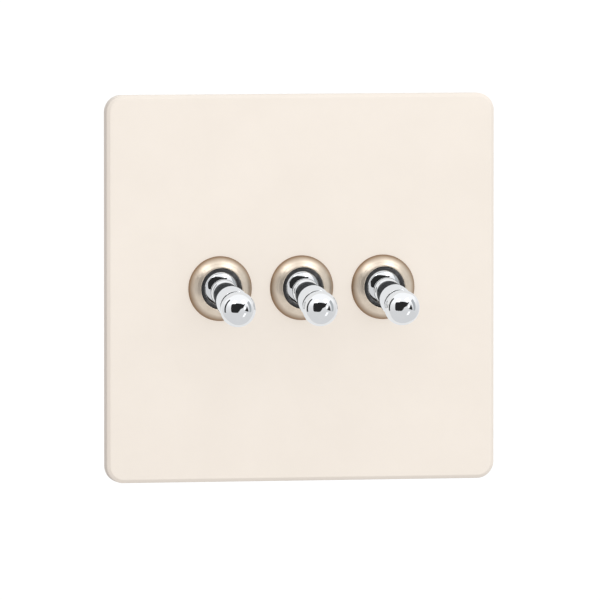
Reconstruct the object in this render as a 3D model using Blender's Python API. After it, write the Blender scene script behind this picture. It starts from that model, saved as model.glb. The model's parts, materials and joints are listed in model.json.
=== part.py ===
"""Three-gang two-way toggle wall switch: front plate, grid, and three toggle mechanisms.

Lengths below are in millimetres and are scaled to metres when a mesh is built. The wall is
the plane y = 0, the front faces -Y, +Z is up, and the origin is the middle of the wall plane.
"""

import math

import bmesh
import bpy
from mathutils import Matrix, Vector

MM = 0.001
SHARP_ANGLE = 32.0
THROUGH = 4.0

# Front plate: a pressed tray with a rounded front edge
PLATE_WIDTH = 88.0
PLATE_HEIGHT = 86.0
PLATE_DEPTH = 3.8
PLATE_SHEET = 0.9
PLATE_EDGE_RADIUS = 0.9
PLATE_CORNER_RADIUS = 3.8
PLATE_WALL_GAP = 0.3
PLATE_HOLE_RADIUS = 5.7

# The gangs stand side by side
GANG_NAMES = ("left", "middle", "right")
GANG_PITCH = 18.5

# Mounting frame behind the plate
FRAME_FLOOR = 1.2
FRAME_SIDE_GAP = 0.4
FRAME_RIM_WIDTH = 2.0
FRAME_RIM_DEPTH = 2.6
FRAME_CORNER_RADIUS = 2.6
FRAME_RECESS_CORNER_RADIUS = 1.2
FRAME_WINDOW_WIDTH = 54.4
FRAME_WINDOW_HEIGHT = 34.6
FRAME_PEG_X = 24.0
FRAME_PEG_Z = 19.2
FRAME_PEG_RADIUS = 1.2
FRAME_PEG_FRONT = 2.7
FRAME_PEG_BACK = 0.7
FRAME_RIB_Z = 33.0
FRAME_RIB_LENGTH = 72.0
FRAME_RIB_WIDTH = 1.2
FRAME_RIB_FRONT = 2.4
EARTH_NOTCH_WIDTH = 8.4
EARTH_NOTCH_TOP = 23.2
FIXING_SPACING = 60.3
FIXING_SLOT_RADIUS = 2.0
FIXING_SLOT_TRAVEL = 1.5

# Yoke: the steel grid plate that carries the mechanisms
YOKE_FRONT = 2.45
YOKE_BACK = 1.35
YOKE_WIDTH = 58.0
YOKE_WAIST = 52.0
YOKE_WAIST_HEIGHT = 11.0
YOKE_HEIGHT = 42.0
YOKE_HOLE_RADIUS = 5.65
EARTH_TAB_WIDTH = 7.0
EARTH_TAB_SHELF = 22.4
EARTH_TAB_REACH = 6.1
EARTH_TAB_TOP = 30.4
EARTH_HOLE_RADIUS = 1.75
EARTH_SCREW_Z = 26.6

# Screws: the fixing screws run back from the frame, the earth screw is driven from behind
FIXING_SCREW_RADIUS = 1.7
FIXING_SCREW_LENGTH = 18.0
FIXING_HEAD_RADIUS = 3.4
FIXING_HEAD_FRONT = 2.7
EARTH_SCREW_RADIUS = 1.6
EARTH_SCREW_TIP = -2.6
EARTH_HEAD_RADIUS = 2.9
EARTH_HEAD_HEIGHT = 2.0
SCREW_POINT = 0.4
DRIVE_WIDTH = 0.8
DRIVE_DEPTH = 0.8

# Lever: distances run forward from the hinge axis along the lever
PIVOT_DEPTH = 4.7
LEVER_TILT = 11.0
BALL_RADIUS = 3.6
PIN_RADIUS = 0.5
PIN_HOLE_RADIUS = 0.6
PIN_LENGTH = 8.8
BALL_BACK = -2.9
CAP_RADIUS = 5.5
CAP_RIM_RADIUS = 3.56
CAP_RIM_FORWARD = 0.62
NECK_RADIUS = 2.0
NECK_FORWARD = 2.1
SHOULDER_RADIUS = 3.0
SHOULDER_END = 4.65
REAR_SOCKET_BOTTOM = -1.1
FRONT_SOCKET_BOTTOM = 1.4
SHANK_RADIUS = 3.0
SHANK_ROOT_RADIUS = 2.7
SPIGOT_RADIUS = 1.35
SPIGOT_TIP = 14.0
SOCKET_RADIUS = 1.5
FERRULE_START = 11.5
FERRULE_RADIUS = 3.5
FERRULE_END = 16.4
FERRULE_GROOVE_DEPTH = 0.2
KNOB_RADIUS = 3.9
KNOB_CENTRE = 18.95
FIT_GAP = 0.15

# Tail of the lever, behind the hinge axis
TAIL_RADIUS = 1.9
TAIL_SHOULDER_RADIUS = 2.3
TAIL_SHOULDER_END = -4.2
TAIL_END = 15.6
TAIL_POCKET_RADIUS = 1.2
TAIL_POCKET_BOTTOM = 10.0
PLUNGER_RADIUS = 1.05
PLUNGER_HEAD = 12.8
PLUNGER_TIP = 17.0
SPRING_WIRE_RADIUS = 0.16
SPRING_COIL_RADIUS = 0.88
SPRING_TURNS = 3.5
SPRING_LENGTH = 1.9

# Bush, seat ring and collar that hold the lever to the plate
BUSH_RADIUS = 5.5
BUSH_FRONT = 5.4
BUSH_BORE = 4.65
BUSH_REAR_BORE = 4.0
BUSH_FLANGE_RADIUS = 6.5
BUSH_FLANGE_FRONT = 1.2
BUSH_FLANGE_BACK = 0.2
SEAT_OUTER_RADIUS = 4.5
SEAT_INNER_RADIUS = 3.75
SEAT_FRONT = 5.55
SEAT_BACK = 1.5
COLLAR_RADIUS = 7.2
COLLAR_HOLE_RADIUS = 4.65
COLLAR_BACK = 3.9
COLLAR_FRONT = 6.0
COLLAR_LIP = 0.15
COLLAR_SLOPE = ((0.0, 0.25), (0.58, 0.92), (1.1, 1.33), (1.7, 1.74))

# Rocker contact: a shallow V see-saw on its own hinge axis
ROCKER_AXIS_Y = 14.0
ROCKER_TILT = 7.0
ROCKER_THICKNESS = 0.8
ROCKER_WIDTH = 5.0
ROCKER_V_REACH = 4.6
ROCKER_REACH = 9.0
ROCKER_CLEARANCE = 0.15
CONTACT_Z = 7.6
CONTACT_RADIUS = 1.2
CONTACT_HEIGHT = 0.4

# Terminals
BLADE_FRONT = 14.3
BLADE_BACK = 15.1
BLADE_HALF_WIDTH = 2.0
BLADE_INNER_Z = 6.0
BLADE_OUTER_Z = 9.6
FIXED_CONTACT_FRONT = 13.8
FULCRUM_RADIUS = 0.45
FULCRUM_HALF_WIDTH = 2.3
COMMON_ARM_EDGE = -3.4
COMMON_FOOT_EDGE = 2.6
COMMON_FOOT_HALF_HEIGHT = 1.6
BLOCK_FRONT = 13.0
BLOCK_BACK = 20.3
BLOCK_WIDTH = 5.9
BLOCK_INNER_Z = 10.0
BLOCK_OUTER_Z = 15.4
BLOCK_OFFSET_X = 3.85
WIRE_HOLE_Y = 16.7
WIRE_HOLE_RADIUS = 1.5
WIRE_HOLE_END_Z = 11.2
TERMINAL_SCREW_Z = 12.9
TERMINAL_SCREW_RADIUS = 1.4
TERMINAL_SCREW_REACH = 2.4
TERMINAL_HEAD_RADIUS = 2.1
TERMINAL_HEAD_HEIGHT = 1.6
TERMINAL_DRIVE_WIDTH = 0.7
TERMINAL_DRIVE_DEPTH = 0.75

# Housing of one gang
HOUSING_WIDTH = 16.8
HOUSING_HEIGHT = 34.0
HOUSING_FRONT = -1.2
HOUSING_BACK = 22.0
HOUSING_WALL = 1.3
HOUSING_BACK_WALL = 1.4
HOUSING_HOLE_GAP = 0.3


def clear_scene():
    for obj in list(bpy.data.objects):
        bpy.data.objects.remove(obj, do_unlink=True)


def material(name, colour, roughness, metallic):
    made = bpy.data.materials.new(name)
    made.use_nodes = True
    shader = made.node_tree.nodes["Principled BSDF"]
    shader.inputs["Base Color"].default_value = (*colour, 1.0)
    shader.inputs["Roughness"].default_value = roughness
    shader.inputs["Metallic"].default_value = metallic
    return made


def make_materials():
    return {
        "cream": material("cream_painted_metal", (0.90, 0.83, 0.73), 0.45, 0.0),
        "nickel": material("satin_nickel", (0.72, 0.66, 0.58), 0.28, 1.0),
        "chrome": material("polished_chrome", (0.86, 0.87, 0.88), 0.05, 1.0),
        "black": material("black_nylon", (0.018, 0.018, 0.020), 0.35, 0.0),
        "shank": material("black_nickel_shank", (0.05, 0.055, 0.06), 0.2, 0.6),
        "frame": material("black_frame_plastic", (0.03, 0.03, 0.032), 0.5, 0.0),
        "housing": material("white_urea_housing", (0.80, 0.79, 0.75), 0.45, 0.0),
        "nylon": material("natural_nylon", (0.82, 0.80, 0.72), 0.4, 0.0),
        "brass": material("brass", (0.78, 0.60, 0.30), 0.3, 1.0),
        "copper": material("phosphor_bronze", (0.72, 0.43, 0.25), 0.3, 1.0),
        "steel": material("zinc_plated_steel", (0.66, 0.67, 0.68), 0.35, 1.0),
        "spring": material("spring_steel", (0.55, 0.56, 0.58), 0.3, 1.0),
    }


def mesh_from(name, vertices, faces):
    """A closed mesh in metres from points in millimetres, with its faces pointing out."""
    mesh = bpy.data.meshes.new(name)
    mesh.from_pydata([Vector(v) * MM for v in vertices], [], faces)
    work = bmesh.new()
    work.from_mesh(mesh)
    bmesh.ops.recalc_face_normals(work, faces=work.faces)
    if work.calc_volume(signed=True) < 0.0:
        bmesh.ops.reverse_faces(work, faces=work.faces)
    work.to_mesh(mesh)
    work.free()
    return mesh


def place(name, mesh, look, location=(0.0, 0.0, 0.0)):
    """Put a mesh in the scene as a named object with one material."""
    obj = bpy.data.objects.new(name, mesh)
    bpy.context.scene.collection.objects.link(obj)
    obj.location = Vector(location) * MM
    obj.data.materials.clear()
    obj.data.materials.append(look)
    obj.data.shade_smooth()
    obj.data.set_sharp_from_angle(angle=math.radians(SHARP_ANGLE))
    return obj


def turned(name, profile, sides):
    """Turn a closed outline of (radius, distance forward) pairs about the -Y axis.

    Points with no radius become a single vertex on the axis.
    """
    vertices = []
    rings = []
    for radius, forward in profile:
        if radius == 0.0:
            rings.append([len(vertices)] * sides)
            vertices.append((0.0, -forward, 0.0))
            continue
        rings.append([len(vertices) + k for k in range(sides)])
        for k in range(sides):
            angle = 2.0 * math.pi * (k + 0.5) / sides
            vertices.append((radius * math.cos(angle), -forward, radius * math.sin(angle)))
    on_axis = profile[0][0] == 0.0
    pairs = list(zip(rings, rings[1:]))
    if not on_axis:
        pairs.append((rings[-1], rings[0]))
    faces = []
    for first, second in pairs:
        for k in range(sides):
            after = (k + 1) % sides
            corner = [first[k], first[after], second[after], second[k]]
            face = [v for i, v in enumerate(corner) if v != corner[i - 1]]
            if len(face) > 2:
                faces.append(face)
    return mesh_from(name, vertices, faces)


def extruded(name, outline, start, end, axis):
    """Extrude an outline along X or Y. An X outline holds (y, z), a Y outline (x, z)."""
    count = len(outline)
    vertices = []
    for depth in (start, end):
        for first, second in outline:
            vertices.append((depth, first, second) if axis == "X" else (first, depth, second))
    faces = [list(range(count)), [count + k for k in reversed(range(count))]]
    for k in range(count):
        after = (k + 1) % count
        faces.append([k, after, count + after, count + k])
    return mesh_from(name, vertices, faces)


def box(x_range, y_range, z_range):
    x0, x1 = x_range
    z0, z1 = z_range
    outline = [(x0, z0), (x1, z0), (x1, z1), (x0, z1)]
    return extruded("box", outline, y_range[0], y_range[1], "Y")


def cylinder(radius, centre, length, axis, sides=20):
    """A cylinder whose middle is centre, along X, Y or Z."""
    mesh = turned(
        "cylinder",
        [(0.0, -length / 2), (radius, -length / 2), (radius, length / 2), (0.0, length / 2)],
        sides,
    )
    turn = {
        "X": Matrix.Rotation(math.pi / 2, 4, "Z"),
        "Y": Matrix.Identity(4),
        "Z": Matrix.Rotation(math.pi / 2, 4, "X"),
    }[axis]
    mesh.transform(Matrix.Translation(Vector(centre) * MM) @ turn)
    return mesh


def combined(mesh, others, operation):
    """Return mesh joined with, or cut by, each of the other meshes."""
    base = bpy.data.objects.new("base", mesh)
    bpy.context.scene.collection.objects.link(base)
    tools = []
    for other in others:
        tool = bpy.data.objects.new("tool", other)
        bpy.context.scene.collection.objects.link(tool)
        tools.append(tool)
        step = base.modifiers.new("step", "BOOLEAN")
        step.operation = operation
        step.solver = "EXACT"
        step.object = tool
    bpy.context.view_layer.update()
    graph = bpy.context.evaluated_depsgraph_get()
    result = bpy.data.meshes.new_from_object(base.evaluated_get(graph))
    for obj in [base, *tools]:
        bpy.data.objects.remove(obj, do_unlink=True)
    return result


def cut(mesh, *others):
    return combined(mesh, others, "DIFFERENCE")


def joined(mesh, *others):
    return combined(mesh, others, "UNION")


def arc(centre, radius, start, end, steps):
    """Points of an arc as (radius, forward) pairs, angles in degrees from the radial direction."""
    points = []
    for k in range(steps + 1):
        angle = math.radians(start + (end - start) * k / steps)
        points.append(
            (centre[0] + radius * math.cos(angle), centre[1] + radius * math.sin(angle))
        )
    return points


def rounded_rectangle(width, height, radius, steps):
    points = []
    for turn in range(4):
        sign_x = 1 if turn in (0, 3) else -1
        sign_z = 1 if turn in (0, 1) else -1
        centre = (sign_x * (width / 2 - radius), sign_z * (height / 2 - radius))
        points += arc(centre, radius, 90.0 * turn, 90.0 * turn + 90.0, steps)
    return points


def slot_outline(centre_x, radius, travel, steps):
    """An upright slot with round ends."""
    upper = arc((centre_x, travel), radius, 0.0, 180.0, steps)
    lower = arc((centre_x, -travel), radius, 180.0, 360.0, steps)
    return upper + lower


def lofted(name, sections):
    """Join outlines of equal length, each given with its y, into a closed solid."""
    count = len(sections[0][1])
    vertices = [(x, y, z) for y, outline in sections for x, z in outline]
    faces = [list(range(count))]
    for level in range(len(sections) - 1):
        for k in range(count):
            after = (k + 1) % count
            low = level * count
            high = low + count
            faces.append([low + k, low + after, high + after, high + k])
    last = (len(sections) - 1) * count
    faces.append([last + k for k in reversed(range(count))])
    return mesh_from(name, vertices, faces)


def slotted(mesh, width, length, y_range, centre_x=0.0, centre_z=0.0):
    """Cut a straight driver slot into a screw head."""
    blade = box(
        (centre_x - length / 2, centre_x + length / 2),
        y_range,
        (centre_z - width / 2, centre_z + width / 2),
    )
    return cut(mesh, blade)


def gang_x(index):
    return (index - (len(GANG_NAMES) - 1) / 2) * GANG_PITCH


def front_plate(looks):
    steps = 5
    sections = []
    back = -PLATE_WALL_GAP
    for y, inset in [(back, 0.0)] + [
        (
            -(PLATE_DEPTH - PLATE_EDGE_RADIUS * (1.0 - math.sin(angle))),
            PLATE_EDGE_RADIUS * (1.0 - math.cos(angle)),
        )
        for angle in (math.radians(90.0 * k / 4) for k in range(5))
    ]:
        outline = rounded_rectangle(
            PLATE_WIDTH - 2 * inset, PLATE_HEIGHT - 2 * inset, PLATE_CORNER_RADIUS - inset, steps
        )
        sections.append((y, outline))
    shell = lofted("front_plate", sections)
    inner = rounded_rectangle(
        PLATE_WIDTH - 2 * PLATE_SHEET,
        PLATE_HEIGHT - 2 * PLATE_SHEET,
        PLATE_CORNER_RADIUS - PLATE_SHEET,
        steps,
    )
    tray = extruded("tray", inner, -(PLATE_DEPTH - PLATE_SHEET), 1.0, "Y")
    holes = [
        cylinder(PLATE_HOLE_RADIUS, (gang_x(k), -PLATE_DEPTH, 0.0), THROUGH, "Y", 24)
        for k in range(len(GANG_NAMES))
    ]
    return place("front_plate", cut(shell, tray, *holes), looks["cream"])


def mounting_frame(looks):
    half_width = PLATE_WIDTH / 2 - PLATE_SHEET - FRAME_SIDE_GAP
    half_height = PLATE_HEIGHT / 2 - PLATE_SHEET - FRAME_SIDE_GAP
    outer = rounded_rectangle(2 * half_width, 2 * half_height, FRAME_CORNER_RADIUS, 3)
    inner = rounded_rectangle(
        2 * (half_width - FRAME_RIM_WIDTH),
        2 * (half_height - FRAME_RIM_WIDTH),
        FRAME_RECESS_CORNER_RADIUS,
        3,
    )
    body = extruded("mounting_frame", outer, -FRAME_RIM_DEPTH, 0.0, "Y")
    recess = extruded("recess", inner, -FRAME_RIM_DEPTH - 1.0, -FRAME_FLOOR, "Y")
    window = box(
        (-FRAME_WINDOW_WIDTH / 2, FRAME_WINDOW_WIDTH / 2),
        (-THROUGH, 1.0),
        (-FRAME_WINDOW_HEIGHT / 2, FRAME_WINDOW_HEIGHT / 2),
    )
    notch_side = EARTH_NOTCH_WIDTH / 2
    notch = box((-notch_side, notch_side), (-THROUGH, 1.0), (0.0, EARTH_NOTCH_TOP))
    slots = [
        extruded(
            "slot",
            slot_outline(side * FIXING_SPACING / 2, FIXING_SLOT_RADIUS, FIXING_SLOT_TRAVEL, 6),
            -THROUGH,
            1.0,
            "Y",
        )
        for side in (-1, 1)
    ]
    peg_middle = -(FRAME_PEG_FRONT + FRAME_PEG_BACK) / 2
    peg_length = FRAME_PEG_FRONT - FRAME_PEG_BACK
    pegs = [
        cylinder(FRAME_PEG_RADIUS, (x, peg_middle, z), peg_length, "Y", 12)
        for x in (-FRAME_PEG_X, FRAME_PEG_X)
        for z in (-FRAME_PEG_Z, FRAME_PEG_Z)
    ]
    ribs = [
        box(
            (-FRAME_RIB_LENGTH / 2, FRAME_RIB_LENGTH / 2),
            (-FRAME_RIB_FRONT, -FRAME_FLOOR + 0.2),
            (side * FRAME_RIB_Z - FRAME_RIB_WIDTH / 2, side * FRAME_RIB_Z + FRAME_RIB_WIDTH / 2),
        )
        for side in (-1, 1)
    ]
    shaped = cut(body, recess, window, notch, *slots)
    return place("mounting_frame", joined(shaped, *pegs, *ribs), looks["frame"])


def yoke(looks):
    side = YOKE_WIDTH / 2
    waist = YOKE_WAIST / 2
    waist_z = YOKE_WAIST_HEIGHT / 2
    top = YOKE_HEIGHT / 2
    outline = [
        (-side, -top),
        (side, -top),
        (side, -waist_z),
        (waist, -waist_z),
        (waist, waist_z),
        (side, waist_z),
        (side, top),
        (-side, top),
        (-side, waist_z),
        (-waist, waist_z),
        (-waist, -waist_z),
        (-side, -waist_z),
    ]
    sheet = YOKE_FRONT - YOKE_BACK
    grid = extruded("yoke", outline, -YOKE_FRONT, -YOKE_BACK, "Y")
    tab_outline = [
        (-YOKE_FRONT, top - 1.0),
        (-YOKE_FRONT, EARTH_TAB_SHELF),
        (EARTH_TAB_REACH - sheet, EARTH_TAB_SHELF),
        (EARTH_TAB_REACH - sheet, EARTH_TAB_TOP),
        (EARTH_TAB_REACH, EARTH_TAB_TOP),
        (EARTH_TAB_REACH, EARTH_TAB_SHELF - sheet),
        (-YOKE_BACK, EARTH_TAB_SHELF - sheet),
        (-YOKE_BACK, top - 1.0),
    ]
    tab = extruded("tab", tab_outline, -EARTH_TAB_WIDTH / 2, EARTH_TAB_WIDTH / 2, "X")
    middle = -(YOKE_FRONT + YOKE_BACK) / 2
    holes = [
        cylinder(YOKE_HOLE_RADIUS, (gang_x(k), middle, 0.0), THROUGH, "Y", 24)
        for k in range(len(GANG_NAMES))
    ]
    holes += [
        cylinder(FRAME_PEG_RADIUS + FIT_GAP, (x, middle, z), THROUGH, "Y", 12)
        for x in (-FRAME_PEG_X, FRAME_PEG_X)
        for z in (-FRAME_PEG_Z, FRAME_PEG_Z)
    ]
    tab_hole = (0.0, EARTH_TAB_REACH - sheet / 2, EARTH_SCREW_Z)
    holes.append(cylinder(EARTH_HOLE_RADIUS, tab_hole, THROUGH, "Y", 16))
    return place("yoke", cut(joined(grid, tab), *holes), looks["steel"])


def fixing_screw(name, x, looks):
    """Machine screw with a low domed head, whose head bears on the mounting frame."""
    profile = [
        (0.0, -FIXING_SCREW_LENGTH),
        (FIXING_SCREW_RADIUS - SCREW_POINT, -FIXING_SCREW_LENGTH),
        (FIXING_SCREW_RADIUS, -FIXING_SCREW_LENGTH + 1.5 * SCREW_POINT),
        (FIXING_SCREW_RADIUS, YOKE_BACK),
        (FIXING_HEAD_RADIUS, YOKE_BACK),
        (FIXING_HEAD_RADIUS, FIXING_HEAD_FRONT - 1.0),
        (FIXING_HEAD_RADIUS - 0.5, FIXING_HEAD_FRONT - 0.4),
        (FIXING_HEAD_RADIUS - 1.8, FIXING_HEAD_FRONT - 0.08),
        (0.0, FIXING_HEAD_FRONT),
    ]
    drive = (-FIXING_HEAD_FRONT - 0.5, -FIXING_HEAD_FRONT + DRIVE_DEPTH)
    mesh = slotted(turned(name, profile, 14), DRIVE_WIDTH, 3.0 * FIXING_HEAD_RADIUS, drive)
    return place(name, mesh, looks["steel"], (x, 0.0, 0.0))


def earth_screw(looks):
    """Pan head screw in the earth tab, driven from behind."""
    seat = -(EARTH_TAB_REACH + FIT_GAP)
    crown = seat - EARTH_HEAD_HEIGHT
    profile = [
        (0.0, EARTH_SCREW_TIP),
        (EARTH_SCREW_RADIUS - SCREW_POINT, EARTH_SCREW_TIP),
        (EARTH_SCREW_RADIUS, EARTH_SCREW_TIP - SCREW_POINT),
        (EARTH_SCREW_RADIUS, seat),
        (EARTH_HEAD_RADIUS, seat),
        (EARTH_HEAD_RADIUS, crown + 0.6),
        (EARTH_HEAD_RADIUS - 0.5, crown + 0.1),
        (0.0, crown),
    ]
    drive = (-crown - DRIVE_DEPTH, -crown + 1.0)
    mesh = slotted(turned("earth_screw", profile, 14), DRIVE_WIDTH, 3.0 * EARTH_HEAD_RADIUS, drive)
    return place("earth_screw", mesh, looks["brass"], (0.0, 0.0, EARTH_SCREW_Z))


def collar_mesh():
    profile = [
        (BUSH_RADIUS + FIT_GAP, COLLAR_BACK),
        (COLLAR_RADIUS, COLLAR_BACK),
        *((COLLAR_RADIUS - inward, COLLAR_BACK + rise) for inward, rise in COLLAR_SLOPE),
        (COLLAR_HOLE_RADIUS + COLLAR_LIP, COLLAR_FRONT),
        (COLLAR_HOLE_RADIUS, COLLAR_FRONT - COLLAR_LIP),
        (COLLAR_HOLE_RADIUS, SEAT_FRONT),
        (BUSH_RADIUS + FIT_GAP, SEAT_FRONT),
    ]
    return turned("collar", profile, 24)


def bush_mesh():
    profile = [
        (BUSH_BORE, BUSH_FRONT),
        (BUSH_RADIUS - 0.3, BUSH_FRONT),
        (BUSH_RADIUS, BUSH_FRONT - 0.3),
        (BUSH_RADIUS, BUSH_FLANGE_FRONT),
        (BUSH_FLANGE_RADIUS, BUSH_FLANGE_FRONT),
        (BUSH_FLANGE_RADIUS, BUSH_FLANGE_BACK),
        (BUSH_REAR_BORE, BUSH_FLANGE_BACK),
        (BUSH_REAR_BORE, SEAT_BACK - FIT_GAP),
        (BUSH_BORE, SEAT_BACK - FIT_GAP),
    ]
    return turned("bush", profile, 20)


def seat_ring_mesh():
    profile = [
        (SEAT_INNER_RADIUS, SEAT_FRONT - 0.15),
        (SEAT_INNER_RADIUS + 0.2, SEAT_FRONT),
        (SEAT_OUTER_RADIUS, SEAT_FRONT),
        (SEAT_OUTER_RADIUS, SEAT_BACK),
        (SEAT_INNER_RADIUS, SEAT_BACK),
    ]
    hole = cylinder(PIN_HOLE_RADIUS, (0.0, -PIVOT_DEPTH, 0.0), 12.0, "X", 8)
    return cut(turned("seat_ring", profile, 20), hole)


def pivot_ball_mesh():
    """Ball with a flatter cap facing forward, then a neck and a shoulder for the shank."""
    back_angle = math.degrees(math.asin(BALL_BACK / BALL_RADIUS))
    cap_centre = CAP_RIM_FORWARD - math.sqrt(CAP_RADIUS**2 - CAP_RIM_RADIUS**2)
    cap_start = math.degrees(math.acos(CAP_RIM_RADIUS / CAP_RADIUS))
    cap_end = math.degrees(math.acos(NECK_RADIUS / CAP_RADIUS))
    profile = [
        (0.0, REAR_SOCKET_BOTTOM),
        (TAIL_RADIUS - FIT_GAP, REAR_SOCKET_BOTTOM),
        (TAIL_RADIUS - FIT_GAP, BALL_BACK),
        *arc((0.0, 0.0), BALL_RADIUS, back_angle, 0.0, 4),
        (BALL_RADIUS, CAP_RIM_FORWARD - 0.15),
        *arc((0.0, cap_centre), CAP_RADIUS, cap_start, cap_end, 3),
        (NECK_RADIUS, NECK_FORWARD),
        (SHOULDER_RADIUS - 0.3, 2.75),
        (SHOULDER_RADIUS, 3.5),
        (SHOULDER_RADIUS - 0.05, 4.1),
        (SHOULDER_RADIUS - 0.26, SHOULDER_END),
        (SOCKET_RADIUS, SHOULDER_END),
        (SOCKET_RADIUS, FRONT_SOCKET_BOTTOM),
        (0.0, FRONT_SOCKET_BOTTOM),
    ]
    hole = cylinder(PIN_HOLE_RADIUS, (0.0, 0.0, 0.0), 12.0, "X", 8)
    return cut(turned("pivot_ball", profile, 16), hole)


def shank_mesh():
    root = SHOULDER_END + FIT_GAP
    tip = FERRULE_START - FIT_GAP
    profile = [
        (0.0, FRONT_SOCKET_BOTTOM + FIT_GAP),
        (SPIGOT_RADIUS, FRONT_SOCKET_BOTTOM + FIT_GAP),
        (SPIGOT_RADIUS, root),
        (SHANK_ROOT_RADIUS, root),
        (SHANK_RADIUS - 0.1, root + 1.4),
        (SHANK_RADIUS, root + 4.2),
        (SHANK_RADIUS, tip),
        (SPIGOT_RADIUS, tip),
        (SPIGOT_RADIUS, SPIGOT_TIP),
        (0.0, SPIGOT_TIP),
    ]
    return turned("shank", profile, 14)


def knob_mesh():
    groove = FERRULE_RADIUS - FERRULE_GROOVE_DEPTH
    sphere_start = -math.degrees(math.acos(groove / KNOB_RADIUS))
    profile = [
        (0.0, SPIGOT_TIP + FIT_GAP),
        (SOCKET_RADIUS, SPIGOT_TIP + FIT_GAP),
        (SOCKET_RADIUS, FERRULE_START),
        (FERRULE_RADIUS - 0.2, FERRULE_START),
        (FERRULE_RADIUS, FERRULE_START + 0.2),
        (FERRULE_RADIUS, FERRULE_END),
        (groove, FERRULE_END + 0.2),
    ]
    profile += arc((0.0, KNOB_CENTRE), KNOB_RADIUS, sphere_start, 78.0, 7)
    profile.append((0.0, KNOB_CENTRE + KNOB_RADIUS))
    return turned("knob", profile, 18)


def hinge_pin_mesh():
    return cylinder(PIN_RADIUS, (0.0, -PIVOT_DEPTH, 0.0), PIN_LENGTH, "X", 8)


def tail_mesh():
    profile = [
        (0.0, REAR_SOCKET_BOTTOM - FIT_GAP),
        (TAIL_RADIUS - 2 * FIT_GAP, REAR_SOCKET_BOTTOM - FIT_GAP),
        (TAIL_RADIUS - 2 * FIT_GAP, BALL_BACK - FIT_GAP),
        (TAIL_SHOULDER_RADIUS, BALL_BACK - FIT_GAP),
        (TAIL_SHOULDER_RADIUS, TAIL_SHOULDER_END),
        (TAIL_RADIUS, TAIL_SHOULDER_END - 0.6),
        (TAIL_RADIUS, -TAIL_END + 0.3),
        (TAIL_RADIUS - 0.3, -TAIL_END),
        (TAIL_POCKET_RADIUS, -TAIL_END),
        (TAIL_POCKET_RADIUS, -TAIL_POCKET_BOTTOM),
        (0.0, -TAIL_POCKET_BOTTOM),
    ]
    return turned("tail", profile, 12)


def plunger_mesh():
    profile = [(0.0, -PLUNGER_HEAD), (PLUNGER_RADIUS, -PLUNGER_HEAD)]
    profile += arc((0.0, -PLUNGER_TIP + PLUNGER_RADIUS), PLUNGER_RADIUS, 0.0, -66.0, 3)
    profile.append((0.0, -PLUNGER_TIP))
    return turned("plunger", profile, 10)


def spring_mesh():
    """A coil along the lever, from the bottom of the tail's pocket towards the plunger."""
    per_turn = 8
    wire_sides = 4
    steps = int(SPRING_TURNS * per_turn)
    first = TAIL_POCKET_BOTTOM + FIT_GAP + SPRING_WIRE_RADIUS
    vertices = []
    for step in range(steps + 1):
        turn = 2.0 * math.pi * step / per_turn
        out = Vector((math.cos(turn), 0.0, math.sin(turn)))
        middle = out * SPRING_COIL_RADIUS + Vector((0.0, first + SPRING_LENGTH * step / steps, 0.0))
        for side in range(wire_sides):
            angle = 2.0 * math.pi * side / wire_sides
            across = out * math.cos(angle) + Vector((0.0, math.sin(angle), 0.0))
            vertices.append(middle + across * SPRING_WIRE_RADIUS)
    faces = [list(range(wire_sides))]
    for step in range(steps):
        for side in range(wire_sides):
            after = (side + 1) % wire_sides
            low = step * wire_sides
            high = low + wire_sides
            faces.append([low + side, low + after, high + after, high + side])
    faces.append([steps * wire_sides + side for side in reversed(range(wire_sides))])
    return mesh_from("plunger_spring", vertices, faces)


def rocker_valley():
    """Depth of the V's bottom behind the rocker's axis, and the slope of its sides.

    The tip of the plunger follows a circle about the lever's hinge. The sides lie
    ROCKER_CLEARANCE from the tip at the middle and at both ends of its travel.
    """
    tip_reach = PLUNGER_TIP - PLUNGER_RADIUS
    keep_out = PLUNGER_RADIUS + ROCKER_CLEARANCE
    tilt = math.radians(LEVER_TILT)
    turn = math.radians(ROCKER_TILT)
    behind = -PIVOT_DEPTH + tip_reach * math.cos(tilt) - ROCKER_AXIS_Y
    above = tip_reach * math.sin(tilt)
    end_y = behind * math.cos(turn) - above * math.sin(turn)
    end_z = behind * math.sin(turn) + above * math.cos(turn)
    bottom = -PIVOT_DEPTH + tip_reach - ROCKER_AXIS_Y + keep_out
    rise = bottom - end_y
    slope = math.acos(keep_out / math.hypot(rise, end_z)) - math.atan2(end_z, rise)
    return bottom, slope


def rocker_mesh():
    """The moving contact, drawn level about its hinge axis, which is its origin."""
    bottom, slope = rocker_valley()
    wing = bottom - ROCKER_V_REACH * math.tan(slope)
    back = ROCKER_THICKNESS
    outline = [
        (wing, -ROCKER_REACH),
        (wing, -ROCKER_V_REACH),
        (bottom, 0.0),
        (wing, ROCKER_V_REACH),
        (wing, ROCKER_REACH),
        (wing + back, ROCKER_REACH),
        (wing + back, ROCKER_V_REACH),
        (bottom + back, 0.0),
        (wing + back, -ROCKER_V_REACH),
        (wing + back, -ROCKER_REACH),
    ]
    strip = extruded("rocker", outline, -ROCKER_WIDTH / 2, ROCKER_WIDTH / 2, "X")
    middle = wing + back + (CONTACT_HEIGHT - 0.3) / 2
    rivets = [
        cylinder(CONTACT_RADIUS, (0.0, middle, side * CONTACT_Z), CONTACT_HEIGHT + 0.3, "Y", 10)
        for side in (-1, 1)
    ]
    return joined(strip, *rivets)


def terminal_block(x, side):
    """A clamp block with a blind wire hole from its outer end and a screw hole from behind."""
    low, high = sorted((side * BLOCK_INNER_Z, side * BLOCK_OUTER_Z))
    return box((x - BLOCK_WIDTH / 2, x + BLOCK_WIDTH / 2), (BLOCK_FRONT, BLOCK_BACK), (low, high))


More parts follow.
